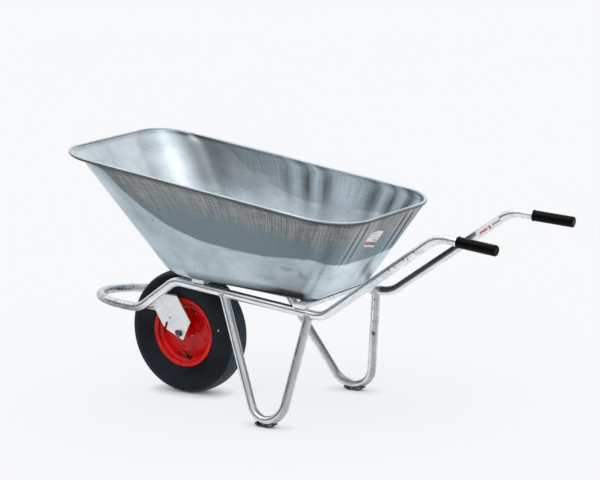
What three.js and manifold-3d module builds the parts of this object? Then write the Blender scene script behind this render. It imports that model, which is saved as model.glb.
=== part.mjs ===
// Builder's wheelbarrow: one bent-tube frame, pressed tub, pneumatic wheel.
// Millimetres, +Z up, +X towards the handles, -Y is the pusher's left.
// The design works from the wheel axle at x = 0 and the ground at z = 0; the whole group is then
// shifted so that the origin lies on the ground below the middle of the barrow's length.

import * as THREE from 'three';
import { mergeVertices } from 'three/addons/utils/BufferGeometryUtils.js';
import { ParametricGeometry } from 'three/addons/geometries/ParametricGeometry.js';
import Module from 'manifold-3d';

const wasm = await Module();
wasm.setup();

// ---------------------------------------------------------------- driving dimensions

const GAP = 0.3; // clearance left between pieces that touch

const WHEEL_RADIUS = 200;
const AXLE_RADIUS = 8;
const AXLE_HALF_LENGTH = 66;
const HUB_RADIUS = 20;
const HUB_HALF_LENGTH = 45;
const BEARING_WIDTH = 12;
const RIM_SHEET = 2;
const RIVET_CIRCLE = 64;
const RIVET_START = THREE.MathUtils.degToRad(64);
const VALVE_RADIUS = 4;
const VALVE_SEAT = new THREE.Vector3(10, -18, -88); // where the stem leaves the left rim half
const VALVE_LEAN = new THREE.Vector3(-14, -17, 24.5).normalize();

const TUBE_RADIUS = 14;
const TUBE_WALL = 2;
const HANDLE_END = new THREE.Vector3(1250, 240.5, 613.2);
const HANDLE_BEND = new THREE.Vector3(1046.6, 223.8, 631.8);
const RAIL_REAR = new THREE.Vector3(631.8, 200.9, 347.2);
const RAIL_FRONT = new THREE.Vector3(36.6, 123.3, 388.4);
const HOOP_FOOT = new THREE.Vector3(-104.3, 123.3, 286.5);
const HOOP_CENTRE_X = -136;
const HOOP_LENGTH = 194;
const HOOP_RISE = 10;

const GRIP_RADIUS = 16.8;
const GRIP_LENGTH = 133;

const LEG_FRONT_SHARE = 0.339; // where the legs meet the rail, from its front end to its rear end
const LEG_REAR_SHARE = 0.913;
const LEG_CORNER = new THREE.Vector3(481.9, 292.4, -127);
const LEG_BEND = 70;
const FOOT_LENGTH = 66;
const FOOT_WIDTH = 28;
const FOOT_SHEET = 5;

const CROSS_HEIGHT = 12;
const CROSS_SHEET = 2.5;
const CROSS_MEMBERS = [
  { name: 'front_crossmember', x: 143, width: 45, halfLength: 150, boltX: 143 },
  { name: 'rear_crossmember', x: 550, width: 44, halfLength: 203, boltX: 540 },
];
const TUB_BOLT_Y = 75;
const BOLT_RADIUS = 4;

const BRACKET_Y = 52; // inner face of the upright plate
const BRACKET_SHEET = 4;
const BRACKET_WIDTH = 100;
const BRACKET_TILT = THREE.MathUtils.degToRad(31.7);
const BRACKET_CORNER = new THREE.Vector2(-95, 270);
const FLANGE_REACH = 76;
const FLANGE_SLOPE = THREE.MathUtils.degToRad(19);

const RIM_BEAD = 6.5;
const TUB_SHEET = 1.2;
const TUB_RIM = { rear: 768, front: -292, half: 288.5, frontRadius: 122, rearRadius: 142 };
const TUB_WALL_TOP = { ...TUB_RIM, frontRadius: 165, rearRadius: 115 };
const TUB_BASE = { rear: 582, front: -19, half: 175, frontRadius: 150, rearRadius: 60 };
const TUB_RIM_Z = 755; // rim height above the axle
const TUB_RIM_SLOPE = -0.147;
const TUB_CORNER = 32;
const TUB_LIP_START = 0.93; // share of the wall's height where it starts to turn out to the rim

const RAIL_SLOPE = (RAIL_REAR.z - RAIL_FRONT.z) / (RAIL_REAR.x - RAIL_FRONT.x);
const RAIL_ANGLE = Math.atan(-RAIL_SLOPE);
const RAIL_TOP_Z = RAIL_FRONT.z - RAIL_SLOPE * RAIL_FRONT.x + TUBE_RADIUS / Math.cos(RAIL_ANGLE);
const TUB_BASE_Z = RAIL_TOP_Z + (CROSS_HEIGHT + 2 * GAP) / Math.cos(RAIL_ANGLE);

// ---------------------------------------------------------------- materials

function material(color, roughness, metalness) {
  return new THREE.MeshStandardMaterial({ color, roughness, metalness });
}

const LOOKS = {
  galvanisedTube: () => material('#c9ced1', 0.38, 0.9),
  galvanisedPlate: () => material('#dfe2e1', 0.5, 0.85),
  tubSheet: () => material('#9fabb1', 0.34, 0.9),
  redPaint: () => material('#c32722', 0.3, 0.1),
  tyreRubber: () => material('#1b2328', 0.8, 0),
  gripPlastic: () => material('#0c0d10', 0.35, 0),
  zincBolt: () => material('#b9bdbb', 0.4, 0.9),
  darkSteel: () => material('#3b4143', 0.5, 0.9),
  bushPlastic: () => material('#2a2c2e', 0.5, 0),
  butylRubber: () => material('#16181a', 0.6, 0),
};

// ---------------------------------------------------------------- geometry helpers

// Merges shared vertices, drops flat triangles and turns the faces outwards.
function closed(geometry) {
  const plain = geometry.clone();
  plain.deleteAttribute('normal');
  plain.deleteAttribute('uv');
  const merged = mergeVertices(plain, 1e-3);
  const index = merged.index.array;
  const kept = [];
  for (let i = 0; i < index.length; i += 3) {
    const [a, b, c] = [index[i], index[i + 1], index[i + 2]];
    if (a !== b && b !== c && c !== a) kept.push(a, b, c);
  }
  merged.setIndex(kept);
  if (signedVolume(merged) < 0) {
    for (let i = 0; i < kept.length; i += 3) [kept[i + 1], kept[i + 2]] = [kept[i + 2], kept[i + 1]];
    merged.setIndex(kept);
  }
  return merged;
}

function signedVolume(geometry) {
  const position = geometry.attributes.position;
  const index = geometry.index.array;
  const corners = [new THREE.Vector3(), new THREE.Vector3(), new THREE.Vector3()];
  let volume = 0;
  for (let i = 0; i < index.length; i += 3) {
    corners.forEach((corner, k) => corner.fromBufferAttribute(position, index[i + k]));
    volume += corners[0].dot(corners[1].clone().cross(corners[2])) / 6;
  }
  return volume;
}

function toSolid(geometry) {
  const merged = closed(geometry);
  return new wasm.Manifold(new wasm.Mesh({
    numProp: 3,
    vertProperties: new Float32Array(merged.attributes.position.array),
    triVerts: new Uint32Array(merged.index.array),
  }));
}

function toGeometry(solid) {
  const mesh = solid.getMesh();
  const geometry = new THREE.BufferGeometry();
  geometry.setAttribute('position', new THREE.BufferAttribute(new Float32Array(mesh.vertProperties), 3));
  geometry.setIndex(Array.from(mesh.triVerts));
  return geometry;
}

function cut(geometry, ...tools) {
  let solid = toSolid(geometry);
  for (const tool of tools) solid = solid.subtract(toSolid(tool));
  return toGeometry(solid);
}

function mirrored(geometry) {
  return closed(geometry.clone().scale(1, -1, 1));
}

function part(name, geometry, look) {
  const mesh = new THREE.Mesh(closed(geometry), look());
  mesh.name = name;
  return mesh;
}

// A path through given stations; a sweep along it puts one ring on each station.
class StationPath extends THREE.Curve {
  constructor(points) {
    super();
    this.points = points;
  }

  getPointAt(share, target = new THREE.Vector3()) {
    return target.copy(this.points[Math.round(share * (this.points.length - 1))]);
  }

  getTangentAt(share, target = new THREE.Vector3()) {
    const last = this.points.length - 1;
    const i = Math.round(share * last);
    const ahead = this.points[Math.min(i + 1, last)].clone().sub(this.points[i]).normalize();
    const behind = this.points[i].clone().sub(this.points[Math.max(i - 1, 0)]).normalize();
    return target.copy(ahead).add(behind).normalize();
  }
}

// Points of a circular bend that replaces the corner between two straight lengths.
function bend(before, corner, after, radius, steps) {
  const back = before.clone().sub(corner).normalize();
  const on = after.clone().sub(corner).normalize();
  const half = back.angleTo(on) / 2;
  const axis = back.clone().add(on).normalize();
  const centre = corner.clone().addScaledVector(axis, radius / Math.sin(half));
  const start = corner.clone().addScaledVector(back, radius / Math.tan(half)).sub(centre);
  const end = corner.clone().addScaledVector(on, radius / Math.tan(half)).sub(centre);
  const turn = new THREE.Vector3().crossVectors(start, end).normalize();
  const angle = start.angleTo(end);
  const points = [];
  for (let i = 0; i <= steps; i += 1) {
    points.push(start.clone().applyAxisAngle(turn, (angle * i) / steps).add(centre));
  }
  return points;
}

function ring(radius, hole, sides, holeSides) {
  const shape = new THREE.Shape();
  for (let i = 0; i < sides; i += 1) {
    const angle = (2 * Math.PI * (i + 0.5)) / sides;
    const point = [radius * Math.cos(angle), radius * Math.sin(angle)];
    if (i === 0) shape.moveTo(...point);
    else shape.lineTo(...point);
  }
  shape.closePath();
  if (hole > 0) {
    shape.holes.push(new THREE.Path(ring(hole, 0, holeSides, 0).getPoints().reverse()));
  }
  return shape;
}

function sweep(shape, points) {
  return new THREE.ExtrudeGeometry(shape, {
    steps: points.length - 1,
    extrudePath: new StationPath(points),
    bevelEnabled: false,
  });
}

function rod(from, to, radius, sides = 12) {
  return sweep(ring(radius, 0, sides, 0), [from, to]);
}

// A turned piece: [radius, distance along the axis] pairs, closed on itself when it has a bore.
function turned(profile, segments) {
  return new THREE.LatheGeometry(profile.map(([r, y]) => new THREE.Vector2(r, y)), segments);
}

function sleeve(inner, outer, from, to, segments) {
  return turned([[inner, from], [outer, from], [outer, to], [inner, to], [inner, from]], segments);
}

// A sheet-metal section: the centre line moved half a thickness to each side.
function sheetSection(line, thickness) {
  const points = line.map(([r, y]) => new THREE.Vector2(r, y));
  const sides = [[], []];
  points.forEach((point, i) => {
    const ahead = points[Math.min(i + 1, points.length - 1)].clone().sub(points[i]).normalize();
    const behind = points[i].clone().sub(points[Math.max(i - 1, 0)]).normalize();
    const along = ahead.add(behind).normalize();
    const across = new THREE.Vector2(-along.y, along.x).multiplyScalar(thickness / 2);
    sides[0].push([point.x + across.x, point.y + across.y]);
    sides[1].unshift([point.x - across.x, point.y - across.y]);
  });
  return [...sides[0], ...sides[1], sides[0][0]];
}

function hexNut(acrossFlats, bore, height) {
  const shape = ring(acrossFlats / Math.sqrt(3), 0, 6, 0);
  if (bore > 0) shape.holes.push(new THREE.Path(ring(bore, 0, 10, 0).getPoints().reverse()));
  return new THREE.ExtrudeGeometry(shape, { depth: height, bevelEnabled: false });
}

// ---------------------------------------------------------------- frame

function onRail(share) {
  return RAIL_FRONT.clone().lerp(RAIL_REAR, share);
}

// Centre line of one side, from the grip to the foot of the front hoop.
function sideRoute(steps) {
  const handle = HANDLE_END.clone().sub(HANDLE_BEND).normalize();
  const hoopStart = new THREE.Vector3(HOOP_CENTRE_X, HOOP_FOOT.y, hoopHeight(HOOP_CENTRE_X));
  return [
    HANDLE_END.clone().addScaledVector(handle, -8),
    ...bend(HANDLE_END, HANDLE_BEND, RAIL_REAR, 105, steps),
    ...bend(HANDLE_BEND, RAIL_REAR, RAIL_FRONT, 90, steps),
    ...bend(RAIL_REAR, RAIL_FRONT, HOOP_FOOT, 80, steps),
    ...bend(RAIL_FRONT, HOOP_FOOT, hoopStart, 80, steps),
  ];
}

function hoopHeight(x) {
  return HOOP_FOOT.z + (HOOP_RISE * (HOOP_FOOT.x - x)) / (HOOP_FOOT.x - HOOP_CENTRE_X + HOOP_LENGTH);
}

function frameRoute(steps, hoopSteps) {
  const right = sideRoute(steps);
  const left = right.map((p) => new THREE.Vector3(p.x, -p.y, p.z)).reverse();
  const hoop = [];
  for (let i = 0; i <= hoopSteps; i += 1) {
    const angle = (Math.PI * i) / hoopSteps;
    const x = HOOP_CENTRE_X - HOOP_LENGTH * Math.sin(angle);
    hoop.push(new THREE.Vector3(x, HOOP_FOOT.y * Math.cos(angle), hoopHeight(x)));
  }
  return [...right, ...hoop, ...left];
}

function frameTube() {
  return sweep(ring(TUBE_RADIUS, TUBE_RADIUS - TUBE_WALL, 12, 6), frameRoute(5, 14));
}

// The space the frame tube takes, with clearance, for coping what is welded to it.
function rightTubeSpace() {
  const route = sideRoute(6);
  return sweep(ring((TUBE_RADIUS + GAP) / Math.cos(Math.PI / 16), 0, 16, 0), route);
}

function rightGrip() {
  const bore = TUBE_RADIUS + GAP;
  const end = GRIP_RADIUS - 5;
  const profile = [
    [0, 0], [end, 0], [GRIP_RADIUS - 1.2, 1.6], [GRIP_RADIUS, 5], [GRIP_RADIUS, GRIP_LENGTH - 3],
    [GRIP_RADIUS + 1, GRIP_LENGTH - 2], [GRIP_RADIUS + 1, GRIP_LENGTH], [bore / Math.cos(Math.PI / 12), GRIP_LENGTH],
    [bore / Math.cos(Math.PI / 12), 7], [0, 7],
  ];
  const geometry = turned(profile, 18);
  const along = HANDLE_BEND.clone().sub(HANDLE_END).normalize();
  geometry.applyQuaternion(new THREE.Quaternion().setFromUnitVectors(new THREE.Vector3(0, 1, 0), along));
  return geometry.translate(HANDLE_END.x, HANDLE_END.y, HANDLE_END.z);
}

// ---------------------------------------------------------------- legs

function legRoute(steps) {
  const front = onRail(LEG_FRONT_SHARE);
  const rear = onRail(LEG_REAR_SHARE);
  return [front, ...bend(front, LEG_CORNER, rear, LEG_BEND, steps), rear];
}

function rightLeg() {
  const tube = sweep(ring(TUBE_RADIUS, TUBE_RADIUS - TUBE_WALL, 12, 6), legRoute(8));
  return cut(tube, rightTubeSpace());
}

function legLowest() {
  return legRoute(60).reduce((low, p) => (p.z < low.z ? p : low));
}

// A shoe rolled to the bend, flat where it meets the ground.
function rightFoot() {
  const half = FOOT_LENGTH / 2;
  const flat = 12;
  const rise = 8;
  const shape = new THREE.Shape();
  shape.moveTo(-flat, 0);
  shape.lineTo(flat, 0);
  shape.quadraticCurveTo(half * 0.72, 0.6, half, rise);
  shape.lineTo(half - 1.5, rise + FOOT_SHEET);
  shape.quadraticCurveTo(half * 0.6, FOOT_SHEET + 0.6, flat, FOOT_SHEET);
  shape.lineTo(-flat, FOOT_SHEET);
  shape.quadraticCurveTo(-half * 0.6, FOOT_SHEET + 0.6, -half + 1.5, rise + FOOT_SHEET);
  shape.lineTo(-half, rise);
  shape.quadraticCurveTo(-half * 0.72, 0.6, -flat, 0);
  const plate = new THREE.ExtrudeGeometry(shape, { depth: FOOT_WIDTH, bevelEnabled: false, curveSegments: 4 });
  const lowest = legLowest();
  plate.rotateX(Math.PI / 2);
  plate.translate(lowest.x, lowest.y + FOOT_WIDTH / 2, 0);
  const space = sweep(ring((TUBE_RADIUS + GAP) / Math.cos(Math.PI / 12), 0, 12, 0), legRoute(9));
  return cut(plate, space);
}

// ---------------------------------------------------------------- cross-members and tub bolts

// Places a piece in the plane that lies on top of both rails.
function onRails(object) {
  object.rotation.y = RAIL_ANGLE;
  object.position.set(0, 0, RAIL_TOP_Z);
  object.updateMatrix();
  return object;
}

function boltPlaces() {
  const places = [];
  for (const member of CROSS_MEMBERS) {
    for (const y of [-TUB_BOLT_Y, TUB_BOLT_Y]) places.push(new THREE.Vector3(member.boltX, y, 0));
  }
  return places;
}

function boltSpaces(clearance) {
  return boltPlaces().map((place) => {
    const hole = new THREE.CylinderGeometry(BOLT_RADIUS + clearance, BOLT_RADIUS + clearance, 60, 12);
    return hole.rotateX(Math.PI / 2).translate(place.x, place.y, 0);
  });
}

// An inverted channel laid across the rails.
function crossMember({ x, width, halfLength }) {
  const half = width / 2;
  const shape = new THREE.Shape();
  shape.moveTo(-half, GAP);
  shape.lineTo(-half, CROSS_HEIGHT + GAP);
  shape.lineTo(half, CROSS_HEIGHT + GAP);
  shape.lineTo(half, GAP);
  shape.lineTo(half - CROSS_SHEET, GAP);
  shape.lineTo(half - CROSS_SHEET, CROSS_HEIGHT + GAP - CROSS_SHEET);
  shape.lineTo(CROSS_SHEET - half, CROSS_HEIGHT + GAP - CROSS_SHEET);
  shape.lineTo(CROSS_SHEET - half, GAP);
  shape.closePath();
  const channel = new THREE.ExtrudeGeometry(shape, { depth: 2 * halfLength, bevelEnabled: false });
  channel.rotateX(Math.PI / 2).translate(x, halfLength, 0);
  return cut(channel, ...boltSpaces(GAP));
}

function tubBolt(place) {
  const head = CROSS_HEIGHT + 3 * GAP + TUB_SHEET;
  const profile = [
    [0, -4], [BOLT_RADIUS - 0.8, -4], [BOLT_RADIUS, -3.2], [BOLT_RADIUS, head],
    [9, head], [7, head + 3], [3.5, head + 4.4], [0, head + 4.8],
  ];
  return turned(profile, 10).rotateX(Math.PI / 2).translate(place.x, place.y, 0);
}

function tubWasher(place) {
  const top = CROSS_HEIGHT - CROSS_SHEET;
  const bore = (BOLT_RADIUS + GAP) / Math.cos(Math.PI / 12);
  const washer = sleeve(bore, 8, top - 1.6, top, 12);
  return washer.rotateX(Math.PI / 2).translate(place.x, place.y, 0);
}

function tubNut(place) {
  const height = 6.5;
  const top = CROSS_HEIGHT - CROSS_SHEET - 1.6 - GAP;
  const nut = hexNut(13, (BOLT_RADIUS + GAP) / Math.cos(Math.PI / 10), height);
  return nut.translate(place.x, place.y, top - height);
}

// ---------------------------------------------------------------- tub

const CORNER_STEPS = 6;

// A rectangle with rounded corners, run round once from the middle of the rear edge.
function roundedOutline({ rear, front, half, frontRadius, rearRadius }, inset) {
  const corners = [
    { x: rear - rearRadius, y: half - rearRadius, radius: rearRadius - inset, start: 0 },
    { x: front + frontRadius, y: half - frontRadius, radius: frontRadius - inset, start: Math.PI / 2 },
    { x: front + frontRadius, y: frontRadius - half, radius: frontRadius - inset, start: Math.PI },
    { x: rear - rearRadius, y: rearRadius - half, radius: rearRadius - inset, start: 1.5 * Math.PI },
  ];
  const arcs = corners.map(({ x, y, radius, start }) => {
    const arc = [];
    for (let i = 0; i <= CORNER_STEPS; i += 1) {
      const angle = start + (Math.PI / 2) * (i / CORNER_STEPS);
      arc.push(new THREE.Vector2(x + radius * Math.cos(angle), y + radius * Math.sin(angle)));
    }
    return arc;
  });
  const between = (a, b, share) => a.clone().lerp(b, share);
  return [
    between(arcs[3].at(-1), arcs[0][0], 0.5), ...arcs[0],
    between(arcs[0].at(-1), arcs[1][0], 0.34), between(arcs[0].at(-1), arcs[1][0], 0.67), ...arcs[1],
    between(arcs[1].at(-1), arcs[2][0], 0.5), ...arcs[2],
    between(arcs[2].at(-1), arcs[3][0], 0.33), between(arcs[2].at(-1), arcs[3][0], 0.66), ...arcs[3],
  ];
}

function rimRing(inset, lift, outline = TUB_RIM) {
  return roundedOutline(outline, inset).map(
    (p) => new THREE.Vector3(p.x, p.y, TUB_RIM_Z + TUB_RIM_SLOPE * p.x + lift),
  );
}

function baseRing(inset) {
  return roundedOutline(TUB_BASE, inset).map(
    (p) => new THREE.Vector3(p.x, p.y, TUB_BASE_Z + RAIL_SLOPE * p.x + inset),
  );
}

// One skin of the tub, ring by ring from the middle of the floor to the curled rim.
function skinRings(inset, rimInset) {
  const base = baseRing(inset);
  const wallTop = rimRing(rimInset, 0, TUB_WALL_TOP);
  const middleX = (TUB_BASE.rear + TUB_BASE.front) / 2;
  const middle = new THREE.Vector3(middleX, 0, TUB_BASE_Z + RAIL_SLOPE * middleX + inset);
  const rings = [base.map(() => middle)];
  for (const share of [0, 0.33, 0.67, 1]) {
    rings.push(base.map((corner, i) => {
      const floorEnd = corner.clone().lerp(middle, TUB_CORNER / corner.distanceTo(middle));
      const wallEnd = corner.clone().lerp(wallTop[i], TUB_CORNER / corner.distanceTo(wallTop[i]));
      return new THREE.QuadraticBezierCurve3(floorEnd, corner, wallEnd).getPoint(share);
    }));
  }
  for (const share of [0.5, TUB_LIP_START]) {
    rings.push(base.map((corner, i) => corner.clone().lerp(wallTop[i], share)));
  }
  rings.push(rimRing(rimInset, 0));
  return rings;
}

// The sheet's edge is curled outwards and under: first the inside of the curl, then its outside.
function tub() {
  const curlRing = (radius) => (degrees) => {
    const angle = THREE.MathUtils.degToRad(degrees);
    return rimRing(-radius * Math.cos(angle), radius * Math.sin(angle));
  };
  const curl = [110, 40, -30, -100];
  const beadRings = [
    ...curl.map(curlRing(RIM_BEAD - TUB_SHEET)),
    ...curl.toReversed().map(curlRing(RIM_BEAD)),
  ];
  const outer = skinRings(0, RIM_BEAD - TUB_SHEET);
  const inner = skinRings(TUB_SHEET, RIM_BEAD).reverse();
  const rings = [...outer, ...beadRings, ...inner];
  const around = rings[0].length;
  const surface = (u, v, target) => {
    target.copy(rings[Math.round(v * (rings.length - 1))][Math.round(u * around) % around]);
  };
  const shell = new ParametricGeometry(surface, around, rings.length - 1);
  const railPlane = onRails(new THREE.Object3D()).matrix;
  return cut(shell, ...boltSpaces(GAP).map((hole) => hole.applyMatrix4(railPlane)));
}

// ---------------------------------------------------------------- axle brackets

// Bent plate: an upright pentagon beside the wheel, and a flange up to the frame tube.
function rightBracket() {
  const inner = BRACKET_Y;
  const outer = BRACKET_Y + BRACKET_SHEET;
  const rise = FLANGE_REACH * Math.tan(FLANGE_SLOPE);
  const depth = 133;
  const section = new THREE.Shape();
  section.moveTo(inner, depth);
  section.lineTo(inner, 0);
  section.lineTo(inner + FLANGE_REACH, -rise);
  section.lineTo(inner + FLANGE_REACH, BRACKET_SHEET - rise);
  section.lineTo(outer, BRACKET_SHEET);
  section.lineTo(outer, depth);
  section.closePath();
  // Section (y, down) swept along the plate's top edge, which then becomes the X of the plate.
  const blank = new THREE.ExtrudeGeometry(section, { depth: BRACKET_WIDTH, bevelEnabled: false });
  blank.applyMatrix4(new THREE.Matrix4().makeBasis(
    new THREE.Vector3(0, 1, 0), new THREE.Vector3(0, 0, -1), new THREE.Vector3(1, 0, 0),
  ));
  const outline = new THREE.Shape();
  outline.moveTo(-1, -60);
  outline.lineTo(BRACKET_WIDTH + 1, -60);
  outline.lineTo(BRACKET_WIDTH + 1, 96);
  outline.lineTo(42, 133);
  outline.lineTo(-1, 66);
  outline.closePath();
  const trim = new THREE.ExtrudeGeometry(outline, { depth: 120, bevelEnabled: false });
  trim.rotateX(-Math.PI / 2).translate(0, 20, 0);
  const plate = toSolid(blank).intersect(toSolid(trim));
  const placed = toGeometry(plate).rotateY(-BRACKET_TILT).translate(BRACKET_CORNER.x, 0, BRACKET_CORNER.y);
  return cut(placed, rightTubeSpace(), ...bracketOpenings());
}

function slotSpace(from, to, radius) {
  const along = new THREE.Vector2().subVectors(to, from);
  const shape = new THREE.Shape();
  const turn = along.angle();
  shape.absarc(to.x, to.y, radius, turn - Math.PI / 2, turn + Math.PI / 2, false);
  shape.absarc(from.x, from.y, radius, turn + Math.PI / 2, turn + 1.5 * Math.PI, false);
  shape.closePath();
  const space = new THREE.ExtrudeGeometry(shape, { depth: 30, bevelEnabled: false, curveSegments: 6 });
  return space.rotateX(Math.PI / 2).translate(0, BRACKET_Y + 15, 0);
}

// The axle slot, the open notch beside it and one small hole.
function bracketOpenings() {
  const point = (x, z) => new THREE.Vector2(x, z);
  return [
    slotSpace(point(-12, WHEEL_RADIUS + 2), point(0, WHEEL_RADIUS), AXLE_RADIUS + GAP + 0.2),
    slotSpace(point(-60, 200), point(-50, 229), 5),
    slotSpace(point(-37.5, 247), point(-36, 247), 3),
  ];
}

// ---------------------------------------------------------------- wheel, about its own axle (Y)

const RIM_LINE = [
  [HUB_RADIUS + GAP + 0.4, 1.2], [72, 1.2], [80, 4.5], [86, 12], [91, 21], [97.5, 24.5], [100, 27],
  [100, 33.5], [102.5, 36.5], [109, 37.3], [111.5, 38.6],
];
const TYRE_OUTSIDE = [
  [102.2, 27], [102.2, 33], [104.5, 35], [111.5, 35.2], [115, 40.5], [131, 47.5], [155, 50], [177, 47.5],
  [191, 40], [198, 26],
];
const TYRE_INSIDE = [[187, 22], [178, 35], [155, 42], [130, 39], [114, 30], [107, 26]];

function tyre() {
  const negative = ([r, y]) => [r, -y];
  const outside = [...TYRE_OUTSIDE.map(negative), [WHEEL_RADIUS, -9], [WHEEL_RADIUS, 9], ...TYRE_OUTSIDE.toReversed()];
  const inside = [...TYRE_INSIDE.toReversed(), ...TYRE_INSIDE.map(negative)];
  return turned([...outside, ...inside, outside[0]], 32);
}

function rimHalf() {
  return turned(sheetSection(RIM_LINE, RIM_SHEET), 26);
}

function innerTube() {
  const section = (radial, axial, steps) => {
    const points = [];
    for (let i = 0; i < steps; i += 1) {
      const angle = (2 * Math.PI * i) / steps;
      points.push([150 + radial * Math.cos(angle), axial * Math.sin(angle)]);
    }
    return [...points, points[0]];
  };
  const solid = toSolid(turned(section(34, 34, 8), 20));
  const hollow = toSolid(turned(section(30.5, 30.5, 8), 20));
  return toGeometry(solid.subtract(hollow));
}

// The valve leaves the tube towards the hub and leans out through the left rim half.
function valvePoint(distance) {
  return VALVE_SEAT.clone().addScaledVector(VALVE_LEAN, distance);
}

function valveRod(from, to, radius, sides) {
  return rod(valvePoint(from), valvePoint(to), radius, sides);
}

function valveSpace() {
  return valveRod(-44, 30, (VALVE_RADIUS + GAP) / Math.cos(Math.PI / 12), 12);
}

function rivetPlaces() {
  return [0, 1, 2, 3].map((i) => {
    const angle = RIVET_START + (i * Math.PI) / 2;
    return new THREE.Vector3(RIVET_CIRCLE * Math.cos(angle), 0, RIVET_CIRCLE * Math.sin(angle));
  });
}

function rivet() {
  const seat = 1.2 + RIM_SHEET / 2 + GAP;
  const profile = [
    [0, -seat - 3], [3.5, -seat - 2.6], [6, -seat], [3, -seat], [3, seat], [6, seat], [3.5, seat + 2.6], [0, seat + 3],
  ];
  return turned(profile, 10);
}

function rivetSpaces() {
  return rivetPlaces().map((place) => {
    const radius = 3 + GAP;
    return new THREE.CylinderGeometry(radius, radius, 20, 10).translate(place.x, 0, place.z);
  });
}

function wheel() {
  const group = new THREE.Group();
  group.position.set(0, 0, WHEEL_RADIUS);
  const rim = cut(rimHalf(), ...rivetSpaces());
  const bore = (AXLE_RADIUS + GAP) / Math.cos(Math.PI / 16);
  const shell = (HUB_RADIUS - 4 + GAP) / Math.cos(Math.PI / 24);
  const bearing = sleeve(bore, HUB_RADIUS - 4, HUB_HALF_LENGTH - BEARING_WIDTH, HUB_HALF_LENGTH, 16);
  group.add(
    part('tyre', tyre(), LOOKS.tyreRubber),
    part('inner_tube', cut(innerTube(), valveSpace()), LOOKS.butylRubber),
    part('rim_right', rim, LOOKS.redPaint),
    part('rim_left', cut(mirrored(rim), valveSpace()), LOOKS.redPaint),
    part('hub_tube', sleeve(shell, HUB_RADIUS, -HUB_HALF_LENGTH, HUB_HALF_LENGTH, 24), LOOKS.redPaint),
    part('bearing_right', bearing, LOOKS.bushPlastic),
    part('bearing_left', mirrored(bearing), LOOKS.bushPlastic),
    part('valve_stem', valveRod(-39, 21, VALVE_RADIUS, 12), LOOKS.butylRubber),
    part('valve_cap', valveRod(21 + GAP, 33, VALVE_RADIUS + 0.6, 10), LOOKS.darkSteel),
  );
  rivetPlaces().forEach((place, i) => {
    const mesh = part(`rim_rivet_${i + 1}`, rivet(), LOOKS.zincBolt);
    mesh.position.copy(place);
    group.add(mesh);
  });
  return group;
}

// ---------------------------------------------------------------- axle, spacers and nuts

function axleSet() {
  const group = new THREE.Group();
  group.position.set(0, 0, WHEEL_RADIUS);
  const axle = turned([
    [0, -AXLE_HALF_LENGTH], [AXLE_RADIUS - 1, -AXLE_HALF_LENGTH], [AXLE_RADIUS, 1 - AXLE_HALF_LENGTH],
    [AXLE_RADIUS, AXLE_HALF_LENGTH - 1], [AXLE_RADIUS - 1, AXLE_HALF_LENGTH], [0, AXLE_HALF_LENGTH],
  ], 16);
  const bore = (AXLE_RADIUS + GAP) / Math.cos(Math.PI / 16);
  const spacer = sleeve(bore, 12, HUB_HALF_LENGTH + 1, BRACKET_Y - GAP, 16);
  const nut = hexNut(19, (AXLE_RADIUS + GAP) / Math.cos(Math.PI / 10), 7);
  nut.rotateX(-Math.PI / 2).translate(0, BRACKET_Y + BRACKET_SHEET + GAP, 0);
  group.add(
    part('axle', axle, LOOKS.darkSteel),
    part('axle_spacer_right', spacer, LOOKS.zincBolt),
    part('axle_spacer_left', mirrored(spacer), LOOKS.zincBolt),
    part('axle_nut_right', nut, LOOKS.darkSteel),
    part('axle_nut_left', mirrored(nut), LOOKS.darkSteel),
  );
  return group;
}

// ---------------------------------------------------------------- assembly

function pair(name, rightGeometry, look) {
  return [
    part(`${name}_right`, rightGeometry, look),
    part(`${name}_left`, mirrored(rightGeometry), look),
  ];
}

function tubMountings() {
  const group = onRails(new THREE.Group());
  for (const member of CROSS_MEMBERS) {
    group.add(part(member.name, crossMember(member), LOOKS.galvanisedPlate));
  }
  boltPlaces().forEach((place, i) => {
    group.add(
      part(`tub_bolt_${i + 1}`, tubBolt(place), LOOKS.zincBolt),
      part(`tub_washer_${i + 1}`, tubWasher(place), LOOKS.zincBolt),
      part(`tub_nut_${i + 1}`, tubNut(place), LOOKS.zincBolt),
    );
  });
  return group;
}

function barrow() {
  const group = new THREE.Group();
  group.add(
    part('frame_tube', frameTube(), LOOKS.galvanisedTube),
    ...pair('grip', rightGrip(), LOOKS.gripPlastic),
    ...pair('leg', rightLeg(), LOOKS.galvanisedTube),
    ...pair('foot_plate', rightFoot(), LOOKS.galvanisedPlate),
    ...pair('axle_bracket', rightBracket(), LOOKS.galvanisedPlate),
    part('tub', tub(), LOOKS.tubSheet),
    tubMountings(),
    axleSet(),
    wheel(),
  );
  const box = new THREE.Box3().setFromObject(group);
  group.position.x = -(box.min.x + box.max.x) / 2;
  return group;
}

export default barrow();
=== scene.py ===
"""Looks of a builder's wheelbarrow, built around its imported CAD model.

Metres in the row frame. Dimensions below are in millimetres, measured from the wheel axle along X,
which points to the handles, from the middle of the barrow along Y, which points to the pusher's
right, and from the ground along Z.
"""

import math
import random

import bmesh
import bpy
import numpy as np
from mathutils import Matrix, Vector


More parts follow.
